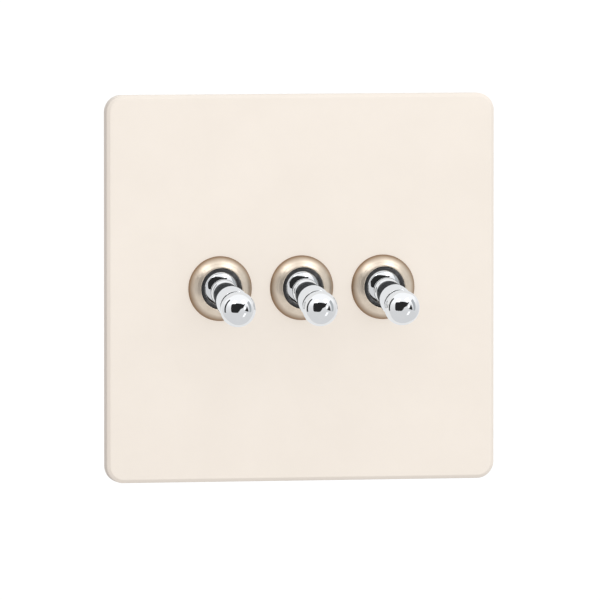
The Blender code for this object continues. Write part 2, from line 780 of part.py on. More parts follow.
def drilled(mesh, x, side):
    depth = BLOCK_OUTER_Z - WIRE_HOLE_END_Z + 1.0
    centre_z = side * (WIRE_HOLE_END_Z + depth / 2)
    wire = cylinder(WIRE_HOLE_RADIUS, (x, WIRE_HOLE_Y, centre_z), depth, "Z", 10)
    reach = BLOCK_BACK - WIRE_HOLE_Y + 1.0
    screw = cylinder(
        TERMINAL_SCREW_RADIUS + FIT_GAP,
        (x, WIRE_HOLE_Y + reach / 2, side * TERMINAL_SCREW_Z),
        reach,
        "Y",
        10,
    )
    return cut(mesh, wire, screw)


def line_terminal_mesh(x, side):
    """Block and blade of a switched terminal, whose contact faces one end of the rocker."""
    blade_end = max(BLADE_HALF_WIDTH, x + BLOCK_WIDTH / 2)
    neck_start = max(-BLADE_HALF_WIDTH, x - BLOCK_WIDTH / 2 + FIT_GAP)
    low, high = sorted((side * BLADE_INNER_Z, side * BLADE_OUTER_Z))
    blade = box((-BLADE_HALF_WIDTH, blade_end), (BLADE_FRONT, BLADE_BACK), (low, high))
    low, high = sorted((side * (BLADE_OUTER_Z - 0.5), side * (BLOCK_INNER_Z + 0.5)))
    neck = box((neck_start, blade_end), (BLADE_FRONT, BLADE_BACK), (low, high))
    disc = cylinder(
        CONTACT_RADIUS + 0.1,
        (0.0, (FIXED_CONTACT_FRONT + BLADE_FRONT + 0.2) / 2, side * CONTACT_Z),
        BLADE_FRONT + 0.2 - FIXED_CONTACT_FRONT,
        "Y",
        10,
    )
    return drilled(joined(terminal_block(x, side), blade, neck, disc), x, side)


def common_terminal_mesh():
    """Block, arm and fulcrum of the common terminal, on whose ridge the rocker rolls."""
    x = -BLOCK_OFFSET_X
    edge = x - BLOCK_WIDTH / 2
    foot_height = COMMON_FOOT_HALF_HEIGHT
    blade = (BLADE_FRONT, BLADE_BACK)
    arm = box((edge, COMMON_ARM_EDGE), blade, (-foot_height, BLOCK_INNER_Z + 0.5))
    foot = box((edge, COMMON_FOOT_EDGE), blade, (-foot_height, foot_height))
    crest = arc((ROCKER_AXIS_Y, 0.0), FULCRUM_RADIUS, 90.0, 270.0, 6)
    ridge_outline = [
        (BLADE_FRONT + 0.2, FULCRUM_RADIUS),
        *crest,
        (BLADE_FRONT + 0.2, -FULCRUM_RADIUS),
    ]
    ridge = extruded("ridge", ridge_outline, -FULCRUM_HALF_WIDTH, FULCRUM_HALF_WIDTH, "X")
    return drilled(joined(terminal_block(x, 1), arm, foot, ridge), x, 1)


def terminal_screw_mesh():
    """Slotted screw whose origin is where its axis crosses the block's back face."""
    profile = [
        (0.0, TERMINAL_SCREW_REACH),
        (TERMINAL_SCREW_RADIUS - 0.25, TERMINAL_SCREW_REACH),
        (TERMINAL_SCREW_RADIUS, TERMINAL_SCREW_REACH - 0.3),
        (TERMINAL_SCREW_RADIUS, -FIT_GAP),
        (TERMINAL_HEAD_RADIUS, -FIT_GAP),
        (TERMINAL_HEAD_RADIUS, -TERMINAL_HEAD_HEIGHT + 0.2),
        (TERMINAL_HEAD_RADIUS - 0.2, -TERMINAL_HEAD_HEIGHT),
        (0.0, -TERMINAL_HEAD_HEIGHT),
    ]
    screw = turned("terminal_screw", profile, 10)
    drive = (TERMINAL_HEAD_HEIGHT - TERMINAL_DRIVE_DEPTH, TERMINAL_HEAD_HEIGHT + 1.0)
    return slotted(screw, TERMINAL_DRIVE_WIDTH, 3.0 * TERMINAL_HEAD_RADIUS, drive)


def housing_mesh():
    width = HOUSING_WIDTH / 2
    height = HOUSING_HEIGHT / 2
    inner_width = width - HOUSING_WALL
    inner_height = height - HOUSING_WALL
    case = box((-width, width), (HOUSING_FRONT, HOUSING_BACK), (-height, height))
    cavity = box(
        (-inner_width, inner_width),
        (HOUSING_FRONT - 1.0, HOUSING_BACK - HOUSING_BACK_WALL),
        (-inner_height, inner_height),
    )
    cutters = [cavity]
    for x, side in ((-BLOCK_OFFSET_X, 1), (BLOCK_OFFSET_X, 1), (0.0, -1)):
        wire = (x, WIRE_HOLE_Y, side * height)
        screw = (x, HOUSING_BACK, side * TERMINAL_SCREW_Z)
        wire_radius = WIRE_HOLE_RADIUS + HOUSING_HOLE_GAP
        screw_radius = TERMINAL_HEAD_RADIUS + HOUSING_HOLE_GAP
        cutters.append(cylinder(wire_radius, wire, THROUGH, "Z", 10))
        cutters.append(cylinder(screw_radius, screw, THROUGH, "Y", 10))
    return cut(case, *cutters)


def gang_meshes():
    """One gang's pieces, shared by all three gangs."""
    return {
        "collar": collar_mesh(),
        "bush": bush_mesh(),
        "seat_ring": seat_ring_mesh(),
        "hinge_pin": hinge_pin_mesh(),
        "housing": housing_mesh(),
        "terminal_com": common_terminal_mesh(),
        "terminal_l1": line_terminal_mesh(BLOCK_OFFSET_X, 1),
        "terminal_l2": line_terminal_mesh(0.0, -1),
        "terminal_screw": terminal_screw_mesh(),
        "pivot_ball": pivot_ball_mesh(),
        "shank": shank_mesh(),
        "knob": knob_mesh(),
        "tail": tail_mesh(),
        "plunger": plunger_mesh(),
        "plunger_spring": spring_mesh(),
        "rocker": rocker_mesh(),
    }


def fixed_pieces(gang, x, meshes, looks):
    for piece, look in (
        ("collar", "nickel"),
        ("bush", "brass"),
        ("seat_ring", "black"),
        ("hinge_pin", "steel"),
        ("housing", "housing"),
        ("terminal_com", "brass"),
        ("terminal_l1", "brass"),
        ("terminal_l2", "brass"),
    ):
        place(f"{piece}_{gang}", meshes[piece].copy(), looks[look], (x, 0.0, 0.0))
    for terminal, offset, side in (
        ("com", -BLOCK_OFFSET_X, 1),
        ("l1", BLOCK_OFFSET_X, 1),
        ("l2", 0.0, -1),
    ):
        place(
            f"screw_{terminal}_{gang}",
            meshes["terminal_screw"].copy(),
            looks["steel"],
            (x + offset, BLOCK_BACK, side * TERMINAL_SCREW_Z),
        )


def moving_pieces(gang, x, meshes, looks):
    """The lever leans down at rest; its pieces hang on the ball, whose origin is the hinge."""
    ball = place(
        f"pivot_ball_{gang}",
        meshes["pivot_ball"].copy(),
        looks["chrome"],
        (x, -PIVOT_DEPTH, 0.0),
    )
    ball.rotation_euler = (math.radians(LEVER_TILT), 0.0, 0.0)
    for piece, look in (
        ("shank", "shank"),
        ("knob", "chrome"),
        ("tail", "nylon"),
        ("plunger", "nylon"),
        ("plunger_spring", "spring"),
    ):
        place(f"{piece}_{gang}", meshes[piece].copy(), looks[look]).parent = ball
    rocker = place(
        f"rocker_{gang}", meshes["rocker"].copy(), looks["copper"], (x, ROCKER_AXIS_Y, 0.0)
    )
    rocker.rotation_euler = (-math.radians(ROCKER_TILT), 0.0, 0.0)


def main():
    clear_scene()
    looks = make_materials()
    front_plate(looks)
    mounting_frame(looks)
    yoke(looks)
    fixing_screw("fixing_screw_left", -FIXING_SPACING / 2, looks)
    fixing_screw("fixing_screw_right", FIXING_SPACING / 2, looks)
    earth_screw(looks)
    meshes = gang_meshes()
    for index, gang in enumerate(GANG_NAMES):
        fixed_pieces(gang, gang_x(index), meshes, looks)
        moving_pieces(gang, gang_x(index), meshes, looks)


main()
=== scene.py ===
"""Looks of the toggle wall switch: fine surfaces, materials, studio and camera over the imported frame."""

import json
import math

import bmesh
import bpy
from mathutils import Matrix, Vector

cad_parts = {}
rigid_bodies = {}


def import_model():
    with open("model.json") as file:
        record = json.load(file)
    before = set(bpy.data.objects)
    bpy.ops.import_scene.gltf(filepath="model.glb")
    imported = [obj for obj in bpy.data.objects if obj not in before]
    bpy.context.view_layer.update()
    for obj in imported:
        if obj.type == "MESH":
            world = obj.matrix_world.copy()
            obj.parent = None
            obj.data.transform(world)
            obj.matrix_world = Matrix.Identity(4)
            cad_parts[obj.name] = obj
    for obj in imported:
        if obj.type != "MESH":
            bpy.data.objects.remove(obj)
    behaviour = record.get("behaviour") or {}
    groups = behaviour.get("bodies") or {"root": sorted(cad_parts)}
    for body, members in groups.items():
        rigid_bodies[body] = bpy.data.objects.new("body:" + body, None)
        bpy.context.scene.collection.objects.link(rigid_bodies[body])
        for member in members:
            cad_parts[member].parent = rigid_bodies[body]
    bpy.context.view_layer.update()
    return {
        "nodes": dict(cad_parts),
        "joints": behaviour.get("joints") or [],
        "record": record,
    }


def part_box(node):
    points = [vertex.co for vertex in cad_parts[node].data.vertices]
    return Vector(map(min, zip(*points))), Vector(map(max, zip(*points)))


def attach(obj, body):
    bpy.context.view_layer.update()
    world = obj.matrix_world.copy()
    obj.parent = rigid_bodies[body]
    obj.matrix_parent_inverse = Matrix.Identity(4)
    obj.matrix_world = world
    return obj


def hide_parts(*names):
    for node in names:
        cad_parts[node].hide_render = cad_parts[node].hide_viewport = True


MM = 0.001
GANGS = ("left", "middle", "right")

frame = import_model()
joints = {joint["name"]: joint for joint in frame["joints"]}
plate_low, plate_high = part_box("front_plate")
PLATE_FRONT = -plate_low.y / MM
PLATE_WIDTH = (plate_high.x - plate_low.x) / MM
PLATE_HEIGHT = (plate_high.z - plate_low.z) / MM
LEVER_TILT = joints["toggle_left"]["range_deg"][1] / 2
GANG_X = {gang: joints[f"toggle_{gang}"]["pos_m"][0] / MM for gang in GANGS}
TAU = 2.0 * math.pi
SMOOTH_ANGLE = math.radians(32.0)
BEVEL_ANGLE = math.radians(35.0)


# ---------------------------------------------------------------- mesh helpers, in millimetres


def finished(name, vertices, faces):
    """A closed mesh in metres, faces pointing out, shaded smooth up to an angle."""
    mesh = bpy.data.meshes.new(name)
    mesh.from_pydata([Vector(v) * MM for v in vertices], [], faces)
    work = bmesh.new()
    work.from_mesh(mesh)
    bmesh.ops.recalc_face_normals(work, faces=work.faces)
    if work.calc_volume(signed=True) < 0.0:
        bmesh.ops.reverse_faces(work, faces=work.faces)
    work.to_mesh(mesh)
    work.free()
    mesh.shade_smooth()
    mesh.set_sharp_from_angle(angle=SMOOTH_ANGLE)
    return mesh


def turned(name, profile, sides):
    """Turn a closed outline of (radius, distance forward) pairs about the -Y axis."""
    vertices = []
    rings = []
    for radius, forward in profile:
        if radius == 0.0:
            rings.append([len(vertices)] * sides)
            vertices.append((0.0, -forward, 0.0))
            continue
        rings.append([len(vertices) + k for k in range(sides)])
        for k in range(sides):
            angle = TAU * (k + 0.5) / sides
            vertices.append((radius * math.cos(angle), -forward, radius * math.sin(angle)))
    pairs = list(zip(rings, rings[1:]))
    if profile[0][0] > 0.0:
        pairs.append((rings[-1], rings[0]))
    faces = []
    for first, second in pairs:
        for k in range(sides):
            after = (k + 1) % sides
            corner = [first[k], first[after], second[after], second[k]]
            face = [v for i, v in enumerate(corner) if v != corner[i - 1]]
            if len(face) > 2:
                faces.append(face)
    return finished(name, vertices, faces)


def arc(centre, radius, start, end, steps):
    """Points along an arc between two angles in degrees, both ends included."""
    points = []
    for k in range(steps + 1):
        angle = math.radians(start + (end - start) * k / steps)
        points.append(
            (centre[0] + radius * math.cos(angle), centre[1] + radius * math.sin(angle))
        )
    return points


def curve(points, steps):
    """A smooth run through the points (Catmull-Rom), for turned profiles."""
    padded = [points[0], *points, points[-1]]
    out = [points[0]]
    for a, b, c, d in zip(padded, padded[1:], padded[2:], padded[3:]):
        for k in range(1, steps + 1):
            t = k / steps
            out.append(
                tuple(
                    0.5
                    * (
                        2 * b[i]
                        + (c[i] - a[i]) * t
                        + (2 * a[i] - 5 * b[i] + 4 * c[i] - d[i]) * t * t
                        + (3 * b[i] - a[i] - 3 * c[i] + d[i]) * t * t * t
                    )
                    for i in (0, 1)
                )
            )
    return out


def rounded_rectangle(width, height, radius, steps):
    """Outline in x and z, anticlockwise as seen from the front."""
    points = []
    for turn in range(4):
        sign_x = 1 if turn in (0, 3) else -1
        sign_z = 1 if turn in (0, 1) else -1
        centre = (sign_x * (width / 2 - radius), sign_z * (height / 2 - radius))
        points += arc(centre, radius, 90.0 * turn, 90.0 * turn + 90.0, steps)
    return points


def lofted(name, sections):
    """Join outlines of equal length, each given with its y, into a closed solid."""
    count = len(sections[0][1])
    vertices = [(x, y, z) for y, outline in sections for x, z in outline]
    faces = [list(range(count))]
    for level in range(len(sections) - 1):
        for k in range(count):
            after = (k + 1) % count
            low = level * count
            high = low + count
            faces.append([low + k, low + after, high + after, high + k])
    last = (len(sections) - 1) * count
    faces.append([last + k for k in reversed(range(count))])
    return finished(name, vertices, faces)


def block(low, high):
    """A plain box between two corners, for cutting and joining."""
    outline = [(low[0], low[2]), (high[0], low[2]), (high[0], high[2]), (low[0], high[2])]
    return lofted("block", [(low[1], outline), (high[1], outline)])


def cylinder(radius, centre, length, axis="Y", sides=48):
    """A plain round bar along an axis, for cutting and joining."""
    half = length / 2
    mesh = turned("cylinder", [(0.0, -half), (radius, -half), (radius, half), (0.0, half)], sides)
    turn = {
        "X": Matrix.Rotation(math.pi / 2, 4, "Z"),
        "Y": Matrix.Identity(4),
        "Z": Matrix.Rotation(math.pi / 2, 4, "X"),
    }[axis]
    mesh.transform(Matrix.Translation(Vector(centre) * MM) @ turn)
    return mesh


def combined(mesh, others, operation):
    """One exact boolean of a mesh with each of the others in turn."""
    base = bpy.data.objects.new("base", mesh)
    bpy.context.scene.collection.objects.link(base)
    tools = []
    for other in others:
        tool = bpy.data.objects.new("tool", other)
        bpy.context.scene.collection.objects.link(tool)
        tools.append(tool)
        step = base.modifiers.new("step", "BOOLEAN")
        step.operation = operation
        step.solver = "EXACT"
        step.object = tool
    bpy.context.view_layer.update()
    graph = bpy.context.evaluated_depsgraph_get()
    result = bpy.data.meshes.new_from_object(base.evaluated_get(graph))
    for obj in [base, *tools]:
        bpy.data.objects.remove(obj, do_unlink=True)
    result.shade_smooth()
    result.set_sharp_from_angle(angle=SMOOTH_ANGLE)
    return result


def cut(mesh, *others):
    return combined(mesh, others, "DIFFERENCE")


def joined(mesh, *others):
    return combined(mesh, others, "UNION")


def piece(name, mesh, look, slot, body, *nodes, at=(0.0, 0.0, 0.0), tilt=0.0):
    """Place a finished mesh, say which body it rides on and which CAD nodes it stands for."""
    obj = bpy.data.objects.new(name, mesh)
    bpy.context.scene.collection.objects.link(obj)
    obj.location = Vector(at) * MM
    obj.rotation_euler = (math.radians(tilt), 0.0, 0.0)
    obj.data.materials.clear()
    obj.data.materials.append(look)
    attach(obj, body)
    if nodes:
        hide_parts(*nodes)
    return obj


def rounded_edges(obj, width):
    """A small real radius on the sharp edges of a moulded or pressed piece."""
    bevel = obj.modifiers.new("edges", "BEVEL")
    bevel.width = width * MM
    bevel.segments = 2
    bevel.limit_method = "ANGLE"
    bevel.angle_limit = BEVEL_ANGLE
    bevel.harden_normals = True


# ---------------------------------------------------------------- materials


class Surface:
    """A Principled material with helpers that wire procedural detail into it."""

    def __init__(self, name, colour, roughness, metallic=0.0):
        self.material = bpy.data.materials.new(name)
        self.material.use_nodes = True
        self.tree = self.material.node_tree
        self.shader = self.tree.nodes["Principled BSDF"]
        self.shader.inputs["Base Color"].default_value = (*colour, 1.0)
        self.shader.inputs["Roughness"].default_value = roughness
        self.shader.inputs["Metallic"].default_value = metallic
        self.place = self.tree.nodes.new("ShaderNodeTexCoord").outputs["Object"]

    def link(self, output, target):
        self.tree.links.new(output, target)

    def noise(self, scale, detail=4.0, rough=0.5, stretch=(1.0, 1.0, 1.0)):
        """Noise whose scale is in cycles per metre."""
        mapping = self.tree.nodes.new("ShaderNodeMapping")
        mapping.inputs["Scale"].default_value = stretch
        self.link(self.place, mapping.inputs["Vector"])
        node = self.tree.nodes.new("ShaderNodeTexNoise")
        node.inputs["Scale"].default_value = scale
        node.inputs["Detail"].default_value = detail
        node.inputs["Roughness"].default_value = rough
        self.link(mapping.outputs["Vector"], node.inputs["Vector"])
        return node.outputs["Fac"]

    def rings(self, scale):
        """Fine turning marks round the Y axis of the piece."""
        node = self.tree.nodes.new("ShaderNodeTexWave")
        node.wave_type = "RINGS"
        node.rings_direction = "Y"
        node.inputs["Scale"].default_value = scale
        node.inputs["Distortion"].default_value = 0.6
        node.inputs["Detail"].default_value = 3.0
        self.link(self.place, node.inputs["Vector"])
        return node.outputs["Fac"]

    def distance_from_axis(self):
        """Distance in metres from the turning axis, the piece's own Y."""
        flat = self.tree.nodes.new("ShaderNodeVectorMath")
        flat.operation = "MULTIPLY"
        flat.inputs[1].default_value = (1.0, 0.0, 1.0)
        self.link(self.place, flat.inputs[0])
        length = self.tree.nodes.new("ShaderNodeVectorMath")
        length.operation = "LENGTH"
        self.link(flat.outputs["Vector"], length.inputs[0])
        return length.outputs["Value"]

    def forward(self):
        """Distance in metres forward of the piece's origin, along its own -Y."""
        split = self.tree.nodes.new("ShaderNodeSeparateXYZ")
        self.link(self.place, split.inputs["Vector"])
        node = self.tree.nodes.new("ShaderNodeMath")
        node.operation = "MULTIPLY"
        node.inputs[1].default_value = -1.0
        self.link(split.outputs["Y"], node.inputs[0])
        return node.outputs["Value"]

    def distance_from(self, value, middle):
        """How far a value lies from a middle value, either way."""
        less = self.tree.nodes.new("ShaderNodeMath")
        less.operation = "SUBTRACT"
        less.inputs[1].default_value = middle
        self.link(value, less.inputs[0])
        size = self.tree.nodes.new("ShaderNodeMath")
        size.operation = "ABSOLUTE"
        self.link(less.outputs["Value"], size.inputs[0])
        return size.outputs["Value"]

    def mixed_colour(self, factor, colour, second):
        """Blend a colour towards a second one and use it as the base colour."""
        mix = self.tree.nodes.new("ShaderNodeMix")
        mix.data_type = "RGBA"
        self.link(factor, mix.inputs["Factor"])
        self.link(colour, mix.inputs["A"])
        mix.inputs["B"].default_value = (*second, 1.0)
        self.link(mix.outputs["Result"], self.shader.inputs["Base Color"])
        return mix.outputs["Result"]

    def spread(self, value, low, high, start=0.3, end=0.7):
        """Map start..end of a value onto low..high, held at both ends."""
        node = self.tree.nodes.new("ShaderNodeMapRange")
        node.inputs["From Min"].default_value = start
        node.inputs["From Max"].default_value = end
        node.inputs["To Min"].default_value = low
        node.inputs["To Max"].default_value = high
        self.link(value, node.inputs["Value"])
        return node.outputs["Result"]

    def roughness_between(self, value, low, high):
        self.link(self.spread(value, low, high), self.shader.inputs["Roughness"])

    def colour_between(self, value, first, second, start=0.35, end=0.65):
        """Base colour that runs from the first to the second with a value."""
        ramp = self.tree.nodes.new("ShaderNodeValToRGB")
        ramp.color_ramp.elements[0].position = start
        ramp.color_ramp.elements[0].color = (*first, 1.0)
        ramp.color_ramp.elements[1].position = end
        ramp.color_ramp.elements[1].color = (*second, 1.0)
        self.link(value, ramp.inputs["Fac"])
        self.link(ramp.outputs["Color"], self.shader.inputs["Base Color"])
        return ramp.outputs["Color"]

    def worn_edges(self, colour, bright, start=0.52, end=0.60):
        """Lighter colour along convex edges, where handling polishes them."""
        geometry = self.tree.nodes.new("ShaderNodeNewGeometry")
        mix = self.tree.nodes.new("ShaderNodeMix")
        mix.data_type = "RGBA"
        self.link(
            self.spread(geometry.outputs["Pointiness"], 0.0, 1.0, start, end),
            mix.inputs["Factor"],
        )
        self.link(colour, mix.inputs["A"])
        mix.inputs["B"].default_value = (*bright, 1.0)
        self.link(mix.outputs["Result"], self.shader.inputs["Base Color"])

    def bump(self, value, distance, strength=1.0):
        """Add one layer of bump, its distance in millimetres."""
        node = self.tree.nodes.new("ShaderNodeBump")
        node.inputs["Distance"].default_value = distance * MM
        node.inputs["Strength"].default_value = strength
        self.link(value, node.inputs["Height"])
        normal = self.shader.inputs["Normal"]
        if normal.is_linked:
            self.link(normal.links[0].from_socket, node.inputs["Normal"])
        self.link(node.outputs["Normal"], normal)


def cream_paint():
    """Powder coat: faint clouding and the fine orange peel of sprayed paint."""
    s = Surface("cream_powder_coat", (0.86, 0.78, 0.69), 0.42)
    tint = s.noise(60.0, 5.0, 0.6)
    s.colour_between(tint, (0.872, 0.800, 0.720), (0.892, 0.820, 0.740))
    s.roughness_between(s.noise(900.0, 3.0), 0.38, 0.50)
    s.bump(s.noise(2600.0, 2.0), 0.010, 0.5)
    s.bump(s.noise(420.0, 2.0), 0.006, 0.4)
    s.shader.inputs["Specular IOR Level"].default_value = 0.22
    return s.material


def satin_nickel():
    """Warm satin plate under matt lacquer, with painted shade: dark brown out towards the plate it sits
    on.
    """
    s = Surface("satin_nickel_plate", (0.80, 0.71, 0.60), 0.3, 0.75)
    cloud = s.colour_between(s.noise(500.0, 3.0), (0.81, 0.70, 0.575), (0.88, 0.77, 0.645))
    # painted shade: from 5.9 to 7.1 mm off the axis the colour is blended towards dark brown, standing in
    # for the shade next to the plate
    rim = s.spread(s.distance_from_axis(), 0.0, 1.0, 5.9 * MM, 7.1 * MM)
    s.mixed_colour(rim, cloud, (0.27, 0.165, 0.09))
    s.roughness_between(s.noise(1800.0, 3.0), 0.28, 0.36)
    s.bump(s.rings(1400.0), 0.0005, 0.25)
    s.bump(s.noise(620.0, 3.0), 0.045, 0.6)
    return s.material


def polished_chrome(name, groove_start=None, groove_end=None):
    """Mirror plating with faint smudges; a groove, if given, is painted near black as painted shade."""
    s = Surface(name, (0.85, 0.88, 0.91), 0.04, 1.0)
    smudge = s.noise(260.0, 4.0, 0.6)
    colour = s.colour_between(smudge, (0.845, 0.862, 0.885), (0.87, 0.885, 0.905))
    if groove_start is not None:
        middle = (groove_start + groove_end) / 2 * MM
        half = (groove_end - groove_start) / 2 * MM
        away = s.distance_from(s.forward(), middle)
        # painted shade: the band of the groove is blended to near black, for the shade down in the groove
        s.mixed_colour(s.spread(away, 1.0, 0.0, 0.8 * half, 1.1 * half), colour, (0.06, 0.06, 0.065))
    s.roughness_between(smudge, 0.025, 0.065)
    s.bump(s.noise(350.0, 2.0), 0.002, 0.25)
    s.shader.inputs["Specular Tint"].default_value = (0.93, 0.95, 0.98, 1.0)
    return s.material


def dark_shank():
    """Near-black polished sleeve with lengthwise polishing marks."""
    s = Surface("dark_gloss_shank", (0.006, 0.010, 0.014), 0.3)
    colour = s.colour_between(s.noise(700.0, 4.0), (0.003, 0.006, 0.010), (0.012, 0.018, 0.023))
    s.worn_edges(colour, (0.10, 0.11, 0.12), 0.56, 0.68)
    s.roughness_between(s.noise(1500.0, 3.0), 0.24, 0.38)
    s.bump(s.noise(900.0, 3.0, 0.6, (1.0, 0.15, 1.0)), 0.004, 0.4)
    s.shader.inputs["Specular IOR Level"].default_value = 0.04
    s.shader.inputs["Specular Tint"].default_value = (0.72, 0.93, 1.0, 1.0)
    return s.material


def moulded(name, low, high, roughness, gloss=0.5):
    """A moulded plastic: slight clouding, fine texture and rubbed edges."""
    middle = tuple((a + b) / 2 for a, b in zip(low, high))
    s = Surface(name, middle, roughness)
    colour = s.colour_between(s.noise(140.0, 4.0, 0.55), low, high)
    s.worn_edges(colour, tuple(min(1.0, c * 1.25 + 0.02) for c in high), 0.54, 0.66)
    s.roughness_between(s.noise(1200.0, 3.0), roughness - 0.06, roughness + 0.06)
    s.bump(s.noise(3000.0, 2.0), 0.006, 0.5)
    s.bump(s.noise(120.0, 2.0), 0.018, 0.25)
    s.shader.inputs["Specular IOR Level"].default_value = gloss
    return s.material


def bare_metal(name, low, high, roughness):
    """A plated or rolled metal: tarnish in patches, fine grain, bright edges."""
    middle = tuple((a + b) / 2 for a, b in zip(low, high))
    s = Surface(name, middle, roughness, 1.0)
    colour = s.colour_between(s.noise(180.0, 5.0, 0.6), low, high, 0.3, 0.7)
    s.worn_edges(colour, tuple(min(1.0, c * 1.12) for c in high), 0.53, 0.62)
    s.roughness_between(s.noise(900.0, 4.0, 0.6), roughness - 0.07, roughness + 0.1)
    s.bump(s.noise(900.0, 3.0, 0.6), 0.003, 0.5)
    return s.material


KNOB_GROOVE = (16.4, 17.0)

LOOKS = {
    "cream_plate": cream_paint(),
    "satin_nickel": satin_nickel(),
    "polished_chrome": polished_chrome("polished_chrome_plate"),
    "dark_shank": dark_shank(),
    "black_nylon": moulded(
        "black_nylon_seat", (0.014, 0.014, 0.015), (0.022, 0.022, 0.024), 0.3, gloss=0.7
    ),
    "frame_plastic": moulded("black_frame_abs", (0.014, 0.014, 0.015), (0.026, 0.026, 0.027), 0.48),
    "white_urea": moulded("white_urea_case", (0.74, 0.73, 0.69), (0.80, 0.79, 0.75), 0.34),
    "nylon": moulded("natural_nylon", (0.72, 0.70, 0.61), (0.80, 0.78, 0.70), 0.38),
    "brass": bare_metal("turned_brass", (0.66, 0.48, 0.21), (0.80, 0.62, 0.32), 0.26),
    "bronze": bare_metal("rolled_bronze", (0.60, 0.35, 0.20), (0.74, 0.46, 0.28), 0.3),
    "zinc_steel": bare_metal("zinc_plated_steel", (0.52, 0.53, 0.53), (0.68, 0.69, 0.68), 0.33),
    "spring_steel": bare_metal("spring_steel_wire", (0.42, 0.43, 0.45), (0.56, 0.57, 0.59), 0.28),
}
# the knob's look carries the painted shade of its groove
KNOB_LOOK = polished_chrome("polished_chrome_knob", *KNOB_GROOVE)
# painted shade: the brass bush is coloured near black, standing in for the shade down in the hole round
# the lever
BUSH_LOOK = bare_metal("blackened_brass", (0.030, 0.027, 0.024), (0.060, 0.052, 0.044), 0.45)


def look_of(slot):
    return LOOKS[slot]


# ---------------------------------------------------------------- the plate


PLATE_CORNER = 3.8
PLATE_SHEET = 0.9


def plate_outline(inset):
    """The plate seen from the front, drawn in by an inset."""
    width = PLATE_WIDTH - 2 * inset
    height = PLATE_HEIGHT - 2 * inset
    return rounded_rectangle(width, height, PLATE_CORNER - inset, 14)


def build_plate():
    """Pressed cover: softened front edge, hollow back and a hole for each bush."""
    edge_reach = 0.9
    edge_rise = 0.8
    side_round = 0.5
    face_round = 0.35
    inner_round = 0.4
    hole_radius = 5.7
    back = -plate_high.y / MM
    side_arc = arc((side_round, -edge_rise), side_round, 180.0, 135.0, 4)
    face_arc = arc((edge_reach, -face_round), face_round, 135.0, 90.0, 4)
    sections = [(-back, plate_outline(0.0))]
    for inset, drop in side_arc + face_arc:
        sections.append((-(PLATE_FRONT + drop), plate_outline(inset)))
    shell = lofted("front_plate_fine", sections)
    ceiling = PLATE_FRONT - PLATE_SHEET
    inner = [
        (1.0, plate_outline(PLATE_SHEET)),
        (inner_round - ceiling, plate_outline(PLATE_SHEET)),
        (-ceiling, plate_outline(PLATE_SHEET + inner_round)),
    ]
    holes = [cylinder(hole_radius, (GANG_X[gang], -PLATE_FRONT, 0.0), 4.0) for gang in GANGS]
    mesh = cut(shell, lofted("tray", inner), *holes)
    piece("plate_fine", mesh, look_of("cream_plate"), "cream_plate", "base", "front_plate")


# ---------------------------------------------------------------- one toggle

BALL_RADIUS = 3.6
SOCKET_RADIUS = 1.5
SPIGOT_RADIUS = 1.35
TAIL_SOCKET_RADIUS = 1.75


def collar_profile():
    """Domed ring: highest at its inner lip, falling away in one curve to the plate."""
    low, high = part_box("collar_left")
    back = -high.y / MM
    front = -low.y / MM
    outer = 7.2
    bore = 4.66
    lip_round = 0.13
    thread_radius = 5.62
    thread_end = 5.58
    slope = curve(
        [
            (outer, back + 0.12),
            (outer - 0.05, back + 0.26),
            (outer - 0.25, back + 0.53),
            (outer - 0.60, back + 0.89),
            (outer - 1.10, back + 1.31),
            (outer - 1.70, back + 1.72),
            (outer - 2.22, front - 0.07),
            (outer - 2.36, front - 0.015),
        ],
        5,
    )
    lip = arc((bore + lip_round, front - lip_round), lip_round, 75.0, 180.0, 6)
    return [
        (thread_radius, back),
        (outer - 0.06, back),
        *slope,
        *lip,
        (bore, thread_end),
        (thread_radius, thread_end),
    ]


def seat_profile():
    """Ring with a rounded front face whose inner lip wipes the ball."""
    low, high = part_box("seat_ring_left")
    front = -low.y / MM
    back = -high.y / MM
    bore = 3.76
    outer = 4.5
    lip = 3.66
    crown = 0.41
    face = arc((lip + crown, front - crown), crown, 180.0, 0.0, 18)
    return [
        (bore, back),
        (bore, front - crown - 0.35),
        *face,
        (outer, front - crown - 0.1),
        (outer, back),
    ]


def ball_profile():
    """Ball with a flatter polished cap, neck and collar, with sockets for shank and tail."""
    cap_radius = 5.5
    rim = 3.56
    rim_forward = 0.62
    neck = 2.05
    shoulder = 2.60
    shoulder_forward = 4.65
    back = -2.9
    tail_socket = -1.1
    shank_socket = 1.4
    start = math.degrees(math.asin(back / BALL_RADIUS))
    sphere = arc((0.0, 0.0), BALL_RADIUS, start, 5.0, 30)
    centre = rim_forward - math.sqrt(cap_radius**2 - rim**2)
    first = math.degrees(math.acos(rim / cap_radius))
    last = math.degrees(math.acos(neck / cap_radius))
    cap = arc((0.0, centre), cap_radius, first, last, 18)
    flare = curve(
        [
            (neck - 0.03, cap[-1][1] + 0.25),
            (2.30, 2.25),
            (2.72, 2.62),
            (2.94, 3.00),
            (3.00, 3.38),
            (2.97, 3.80),
            (2.87, 4.18),
            (2.72, 4.48),
            (shoulder, shoulder_forward),
        ],
        6,
    )
    return [
        (0.0, tail_socket),
        (TAIL_SOCKET_RADIUS, tail_socket),
        (TAIL_SOCKET_RADIUS, back),
        *sphere,
        (BALL_RADIUS, 0.45),
        (BALL_RADIUS - 0.01, 0.55),
        *cap,
        (neck - 0.05, cap[-1][1] + 0.10),
        *flare,
        (SOCKET_RADIUS, shoulder_forward),
        (SOCKET_RADIUS, shank_socket),
        (0.0, shank_socket),
    ]


